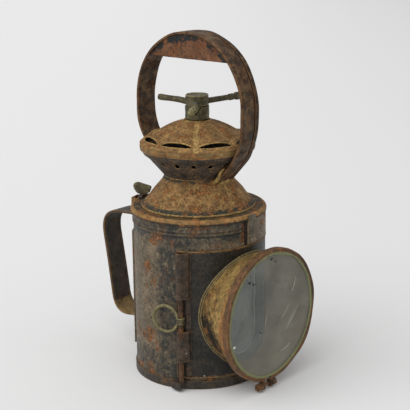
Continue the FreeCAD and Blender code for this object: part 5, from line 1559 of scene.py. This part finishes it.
    def marks(self, depth: float) -> None:
        """Pale lines, thin ribbons along gentle curves over the pane, and specks: dark ones of dirt and one
        pale one.

        Args:
            depth: Place of the pane's face along Y.
        """
        count = 30
        width = self.pale_line_width * np.sqrt(np.sin(np.linspace(0.05, math.pi - 0.05, count)))
        ribbon = beads(8, 1.0) * np.stack([width, np.full(count, FIT)], -1)[:, None]
        for index, knots in enumerate(self.pale_lines):
            flat = curve_through(knots, count)
            path = np.stack([flat[:, 0], np.full(count, depth), flat[:, 1]], -1)
            across = np.cross(unit(np.gradient(path, axis=0)), Y_AXIS)
            self.carried(f"pale_line_{index}", PALE_MARK, path, across, -Y_AXIS, ribbon)
        for index, (x, z, size) in enumerate(self.specks):
            finish = HIGHLIGHT_AND_CHIP if size < 0 else SHADOW_AND_DIRT
            half = (abs(size), 0.12, 0.6 * abs(size))
            self.blob(f"speck_{index}", finish, np.array([x, depth - 0.1, z]), half, 0.9,
                      wave=(0.15, 2.0, 31 + index))


@dataclass
class BoltGuides(Maker):
    """The two folded guides of the lift bolt on the door."""

    body: str = "door"
    orbit: float = 65.0
    azimuth: float = -62.0
    radius: float = 2.56
    gauge: float = 1.15
    seat: float = 61.65
    flap_end: float = -53.5
    # Azimuth and radius of the flap's two folds.
    fold: tuple = ((-55.0, 61.65), (-56.0, 64.0))
    wrap: tuple = (60.0, 262.0)

    def build(self) -> None:
        """Carry the folded sheet up each guide's length.

        The sheet's line steps up from the door's face, runs flat to the bolt's outer side and round the bolt.
        """
        outward = facing(self.azimuth)[:2]
        axis = self.orbit * outward
        across = np.array([-outward[1], outward[0]])
        steps = np.array([(self.flap_end, self.seat), *self.fold])
        flap = around(*steps.T, 0.0)[:, :2]
        swing = np.radians(np.linspace(*self.wrap, 30))[:, None]
        wrap = axis + self.radius * (np.cos(swing) * across + np.sin(swing) * outward)
        line = resampled(np.vstack([rounded(np.vstack([flap, wrap[:1]]), 0.5, 4, False), wrap[1:]]), 90)
        outline = thickened(line, self.gauge)
        for node in ("bolt_guide_lower", "bolt_guide_upper"):
            low, high = heights(node)
            height = np.linspace(low, high, 40)[:, None]
            near = np.minimum(height - low, high - height)
            wear = np.maximum(fade(near, 1.6, 0.9), 0.5 * corner_wear(outline))
            self.carried(node.replace("bolt_", "folded_"), GUIDE_TIN, height * Z_AXIS, X_AXIS, Y_AXIS,
                         outline, [node], Cap.STRIP, wave=(0.08, 16.0, 19), masks={"wear": wear})


@dataclass
class LiftBolt(Maker):
    """The round bolt of the door and its finger ring."""

    body: str = "bolt"
    orbit: float = BoltGuides.orbit
    azimuth: float = BoltGuides.azimuth
    radius: float = 2.5
    ring_radius: float = 12.15
    ring_wire: float = 1.45
    ring_offset: float = 15.0
    ring_heading: float = 105.9
    eye_radius: float = 3.9
    eye_half: float = 3.0

    def build(self) -> None:
        """Turn the bolt and the ring's eye about the bolt's axis, and carry a wire round the ring."""
        foot = self.orbit * facing(self.azimuth)
        about = Turning(foot)
        bolt = band(self.radius, CORE, *heights("lift_bolt"), 0.6)
        self.turned("round_bolt", CLAMP_RUST, bolt, about, ["lift_bolt"], 36, masks={"tone": 0.5})
        height = sum(heights("bolt_ring")) / 2
        along = UPRIGHT.outward(self.ring_heading)
        ring = Turning(foot + self.ring_offset * along + height * Z_AXIS, np.cross(along, Z_AXIS), along)
        angle = all_round(96)
        self.carried("finger_ring", BRASS, ring.points(angle, self.ring_radius, 0.0), ring.outward(angle),
                     ring.axis, beads(16, self.ring_wire), ["bolt_ring"], Cap.OPEN, True, (0.08, 14.0, 20),
                     {"wear": 0.6})
        eye = band(self.eye_radius, self.radius + FIT, height - self.eye_half, height + self.eye_half, 0.7)
        self.turned("ring_eye", BRASS, eye, about, steps=36)


@dataclass
class Selector(Maker):
    """Notched sleeve, spindle nut and the filter drum inside."""

    body: str = "selector"
    radius: float = 10.9
    bore: float = 8.2
    low: float = 237.8
    high: float = 249.4
    notch_depth: float = 7.6
    notch_half: float = 5.0
    turn: float = -52.0
    nut_radius: float = 5.9
    nut_slot: float = 3.2

    def notch(self, azimuth: Points) -> Points:
        """Depth of the three V notches at an azimuth, from 0 between them to 1 at their points."""
        sideways = beside_thirds(azimuth, self.turn, self.radius)
        return fade(sideways - 0.4, self.notch_half - 0.4)

    def build(self) -> None:
        """Make the sleeve, whose rim drops at each notch, and the slotted nut."""
        steps = 180
        base = rounded([(self.bore, 0.0), (self.radius, 0.0), (self.radius, 1.0), (self.bore, 1.0)], 0.06, 3)
        rim = self.high - self.notch_depth * self.notch(all_round(steps)[:, None] + 90.0)
        sleeve = profiles(base[:, 0], self.low + base[:, 1] * (rim - self.low))
        self.turned("notched_sleeve", BRASS, sleeve, UPRIGHT, ["selector_sleeve"], steps, (0.1, 12.0, 21),
                    {"wear": 0.35})
        low, top = heights("spindle_nut")
        reach, slot = self.nut_radius, self.nut_slot
        nut = rounded([(CORE, low), (reach, low), (reach, top + 0.9), (slot, top + 0.9), (slot, top + 0.2),
                       (CORE, top + 0.2)], 0.4)
        self.turned("slotted_nut", BRASS, nut, UPRIGHT, ["spindle_nut"], 60)
        self.dress(STEEL, "selector_spindle", "drum_spider", "filter_drum")
        self.dress(RUBY, "red_glass")
        self.dress(EMERALD, "green_glass")


@dataclass
class Knob(Maker):
    """The sprung hub with its toothed skirt and three arms."""

    body: str = "knob"
    radius: float = 10.5
    bore: float = 3.06
    well: float = 6.2
    low: float = 249.8
    high: float = 259.5
    tooth_depth: float = 6.2
    stem: float = 7.8
    floor_low: float = 241.2
    floor_high: float = 242.7
    turn: float = Selector.turn
    arm_reach: float = 43.5
    arm_rise: float = 2.1
    tilt: tuple = (4.0, 4.0, 2.5)
    pear_half: float = 5.8
    pear_lean: float = 0.7
    pear_drop: float = 2.4
    spring_radius: float = 4.6
    spring_wire: float = 0.8
    spring_turns: float = 5.0
    travel: float = 8.0

    def build(self) -> None:
        """Make the hub, the arms and the spring."""
        self.hub()
        self.arms()
        self.spring()

    def hub(self) -> None:
        """The hub: a ring whose lower edge drops as a V at each tooth, with a stem and floor inside."""
        steps = 180
        sideways = beside_thirds(all_round(steps)[:, None] + 90.0, self.turn, self.radius)
        reach, height = rounded([
            (self.bore, self.floor_low), (self.stem, self.floor_low), (self.stem, self.low),
            (self.stem + 0.5, self.low), (self.radius, self.low), (self.radius, self.high),
            (self.well, self.high), (self.well, self.floor_high), (self.bore, self.floor_high)], 0.8).T
        skirt = (reach > self.stem + 0.2) & (height < self.low + 1.0)
        drop = self.tooth_depth * fade(sideways - 0.3, 3.8) * skirt
        self.turned("toothed_hub", BRASS, profiles(reach, height - drop), UPRIGHT, ["knob_hub"], steps,
                    (0.12, 12.0, 22))

    def arms(self) -> None:
        """Three lines turned about tilted axes: one is stepped, and the front one ends in a tall pear."""
        start = self.radius - 0.6
        reach = self.arm_reach
        plain = curve_through([(3.0, start), (2.7, start + 8.0), (2.75, reach - 12.0), (2.85, reach - 3.0),
                               (2.2, reach - 0.6), (0.1, reach)], 40)
        steps = rounded([(2.5, start), (2.5, reach - 12.0), (3.1, reach - 11.6), (3.1, reach - 7.5),
                         (2.7, reach - 7.2), (2.7, reach - 5.8), (3.5, reach - 5.5), (3.5, reach - 0.6),
                         (2.8, reach), (0.1, reach)], 0.5, 4, False)
        rows = zip(("front_arm", "stepped_arm", "rear_arm"), self.tilt, (plain, steps, plain))
        for index, (node, tilt, line) in enumerate(rows):
            flat, rise = facing(self.turn + THIRD_TURN * index), math.radians(tilt)
            axis = flat * math.cos(rise) + Z_AXIS * math.sin(rise)
            about = Turning((self.low + self.arm_rise) * Z_AXIS, axis, np.cross(Z_AXIS, flat))
            outline = np.vstack([[(0.1, line[0, 1])], line])
            self.turned(node.replace("arm", "lever"), BRASS, outline, about, [node], 32,
                        (0.25, 9.0, 23 + index), {"wear": 0.3})
            if node == "front_arm":
                self.pear(about.origin + (reach - 2.0) * axis, axis)

    def pear(self, place: Points, axis: Points) -> None:
        """The front arm's end: a pear shaped line turned about a leaning upright axis.

        Args:
            place: The end's middle.
            axis: Direction of the arm.
        """
        lean = unit(Z_AXIS + self.pear_lean * unit(np.cross(Z_AXIS, axis)))
        half = self.pear_half
        line = curve_through([(0.1, -half), (2.5, -0.85 * half), (3.4, -0.35 * half), (3.0, 0.35 * half),
                              (2.0, 0.85 * half), (0.1, half)], 32)
        about = Turning(place - self.pear_drop * Z_AXIS, lean, unit(np.cross(lean, axis)))
        self.turned("lever_pear", BRASS, line, about, steps=28, wave=(0.2, 6.0, 30), masks={"wear": 0.58})

    def spring(self) -> None:
        """The coil spring: a round wire along a helix."""
        low, high = self.floor_high + 0.5, heights("spindle_nut")[0] - 0.5
        share = np.linspace(0.0, 1.0, 240)
        angle = share * self.spring_turns * FULL_TURN
        path = UPRIGHT.points(angle, self.spring_radius, low + share * (high - low))
        coil = self.carried("coil_spring", STEEL, path, UPRIGHT.outward(angle), Z_AXIS,
                            beads(8, self.spring_wire / 2), ["knob_spring"])
        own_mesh(coil)


@dataclass
class ThumbCatch(Maker):
    """The sliding thumb catch: a blunt tab, edge on to the body's axis, on a bar inside the wall."""

    body: str = "thumb"
    azimuth: float = -162.0
    bar_radius: float = 57.6
    bar_half_width: float = 4.0
    bar_half_gauge: float = 0.6
    toe_inner: float = 41.6
    # Outward distance from the bar and height over its top of the tab's corners.
    spade: tuple = ((-3.0, -9.9), (4.0, -9.9), (7.5, -8.0), (9.4, -3.6), (8.0, 0.5), (4.5, 1.0), (-8.4, -1.4),
                    (-9.2, -3.2), (-7.0, -8.2))
    spade_gauge: float = 2.4

    def build(self) -> None:
        """Carry the spade's outline across its thickness, and make the bar and its toe as softened blocks."""
        outward = facing(self.azimuth)
        across = np.cross(Z_AXIS, outward)
        low, high = heights("thumb_catch")
        foot = self.bar_radius * outward
        outline = rounded(self.spade, 1.6, 5)
        path = foot + high * Z_AXIS + np.linspace(-0.5, 0.5, 5)[:, None] * self.spade_gauge * across
        self.carried("thumb_spade", BRASS, path, outward, Z_AXIS, outline, ["thumb_catch"],
                     wave=(0.2, 8.0, 26))
        directions = np.stack([across, outward, Z_AXIS])
        bar_top = heights("thumb_guide")[1]
        half = (self.bar_half_width, self.bar_half_gauge, (bar_top - low) / 2)
        self.blob("thumb_bar", STEEL, foot + (low + bar_top) / 2 * Z_AXIS, half, 0.12, turn=directions)
        reach = (self.bar_radius - self.toe_inner) / 2
        self.blob("thumb_toe", STEEL, (self.toe_inner + reach) * outward + (low + 1.5) * Z_AXIS,
                  (3.0, reach, 1.5), 0.15, turn=directions)


@dataclass
class CandleStand(Maker):
    """Candle with its drips and wick, the reflector, and the tray that carries them."""

    body: str = "candle"
    radius: float = 11.1
    dish_radius: float = 17.0
    dish_depth: float = 6.0
    dish_gauge: float = 0.8
    dish_back: float = 13.0

    def build(self) -> None:
        """Make the candle, wick and dish, and dress the tray."""
        low, high = heights("candle")
        steps = 72
        turn = np.radians(all_round(steps))[:, None]
        side, bowl = self.radius - 0.5, high - 2.4
        reach, height = rounded([(CORE, low), (side, low), (side, high - 0.4), (side - 3.0, high - 1.6),
                                 (1.2, bowl), (CORE, bowl)], 1.4).T
        runs = 0.35 * np.clip(np.sin(3 * turn) + 0.6 * np.sin(7 * turn + 1.0), 0.0, None)
        runs = runs * fade(high - height, 22.0) * (reach > self.radius - 2.0)
        self.turned("tallow_candle", TALLOW, profiles(reach + runs, height), UPRIGHT, ["candle"], steps)
        share = np.linspace(0.0, 1.0, 24)
        foot, tip = high - 2.6, heights("wick")[1]
        path = np.stack([0.7 * np.sin(share * 2.4), 0.0 * share, foot + share * (tip - foot)], -1)
        self.carried("burnt_wick", COTTON, path, X_AXIS, Y_AXIS, beads(10, 0.75), ["wick"],
                     wave=(0.08, 3.0, 27))
        line = profiles(CORE + share * (self.dish_radius - CORE), self.dish_depth * (share ** 2 - 1.0))
        about = Turning(np.array([0.0, self.dish_back, LENS_HEIGHT]), -Y_AXIS, X_AXIS)
        self.turned("dish", MIRROR, thickened(line, self.dish_gauge), about, ["reflector"], 72)
        self.dress(TRAY_TIN, "candle_tray", "candle_socket", "reflector_post")


@dataclass
class Studio:
    """Floor, soft light and the camera of the photo's view."""

    camera_place: tuple = (-738.3, -692.0, 425.3)
    camera_azimuth: float = -47.2
    camera_pitch: float = -14.88
    camera_roll: float = -0.62
    focal: float = 99.86
    sensor: float = 36.0
    floor_reach: float = 9.0
    # The floor's colour runs from light to shaded across the camera's view, a painted shade.
    floor_light: Colour = (0.80, 0.80, 0.80)
    floor_shaded: Colour = (0.62, 0.62, 0.62)
    floor_shade_span: tuple = (-0.5, 1.6)
    sky: float = 0.56
    sun: float = 1.7
    sun_spread: float = 70.0
    sun_from: tuple = (-0.75, 0.1, 0.9)
    fill: float = 0.35
    fill_from: tuple = (-0.2, -1.0, 0.5)

    def build(self) -> None:
        """Set up the camera, the floor and the lights."""
        self.camera()
        self.floor()
        self.lights()
        bpy.context.scene.view_settings.view_transform = "Standard"

    def camera(self) -> None:
        """A camera that looks from its place along its azimuth and pitch, rolled a little."""
        lens = bpy.data.cameras.new("camera")
        lens.lens, lens.sensor_width, lens.clip_end = self.focal, self.sensor, 100.0
        made = bpy.data.objects.new("camera", lens)
        level = Matrix.Rotation(math.radians(self.camera_azimuth), 4, "Z")
        pitch = Matrix.Rotation(math.radians(90.0 + self.camera_pitch), 4, "X")
        roll = Matrix.Rotation(math.radians(self.camera_roll), 4, "Z")
        made.matrix_world = Matrix.Translation(Vector(self.camera_place) * MM) @ level @ pitch @ roll
        bpy.context.scene.collection.objects.link(made)
        bpy.context.scene.camera = made

    def floor(self) -> None:
        """A wide pale floor, darker towards the camera's right as painted shade."""
        side = self.floor_reach / MM
        x, y = np.meshgrid(np.linspace(-side, side, 3), np.linspace(-side, side, 3))
        mesh = bpy.data.meshes.new("floor")
        points = np.stack([x, y, np.full_like(x, -FIT)], -1).reshape(-1, 3) * MM
        mesh.from_pydata(points.tolist(), [], quads(3, 3).tolist())
        made = bpy.data.objects.new("floor", mesh)
        bpy.context.scene.collection.objects.link(made)
        material = bpy.data.materials.new("pale_floor")
        material.use_nodes = True
        graph = Graph(material.node_tree)
        azimuth = math.radians(self.camera_azimuth)
        where = graph.add("ShaderNodeTexCoord").outputs["Object"]
        right = (math.cos(azimuth), math.sin(azimuth), 0.0)
        across = graph.add("ShaderNodeVectorMath", {0: where, 1: right}, operation="DOT_PRODUCT")
        painted_floor_shade = graph.ramp(across.outputs["Value"], *self.floor_shade_span)
        tone = graph.blend(painted_floor_shade, self.floor_light, self.floor_shaded)
        matt = {"Base Color": tone, "Roughness": 0.9, "Specular IOR Level": 0.0}
        shader = graph.add("ShaderNodeBsdfPrincipled", matt)
        graph.add("ShaderNodeOutputMaterial", {"Surface": shader.outputs[0]})
        mesh.materials.append(material)

    def lights(self) -> None:
        """An even sky and two broad suns, the stronger from the left and a little behind the camera."""
        world = bpy.data.worlds.new("studio")
        world.use_nodes = True
        backdrop = world.node_tree.nodes["Background"].inputs
        backdrop["Strength"].default_value = self.sky
        backdrop["Color"].default_value = (1.0, 1.0, 1.0, 1.0)
        bpy.context.scene.world = world
        rows = (("key", self.sun, self.sun_from), ("fill", self.fill, self.fill_from))
        for name, strength, direction in rows:
            lamp = bpy.data.lights.new(name, "SUN")
            lamp.energy, lamp.angle = strength, math.radians(self.sun_spread)
            made = bpy.data.objects.new(name, lamp)
            made.matrix_world = Vector(direction).to_track_quat("Z", "Y").to_matrix().to_4x4()
            bpy.context.scene.collection.objects.link(made)


def main() -> None:
    """Build each sub-assembly and the studio."""
    logging.basicConfig(level=logging.INFO, format="%(name)s: %(message)s")
    for part in (Body(), Roof(), Straps(), Door(), BoltGuides(), LiftBolt(), Selector(), Knob(), ThumbCatch(),
                 CandleStand(), Studio()):
        part.build()
        LOG.info("%s done", type(part).__name__)
    bpy.context.view_layer.update()


if __name__ == "__main__":
    main()
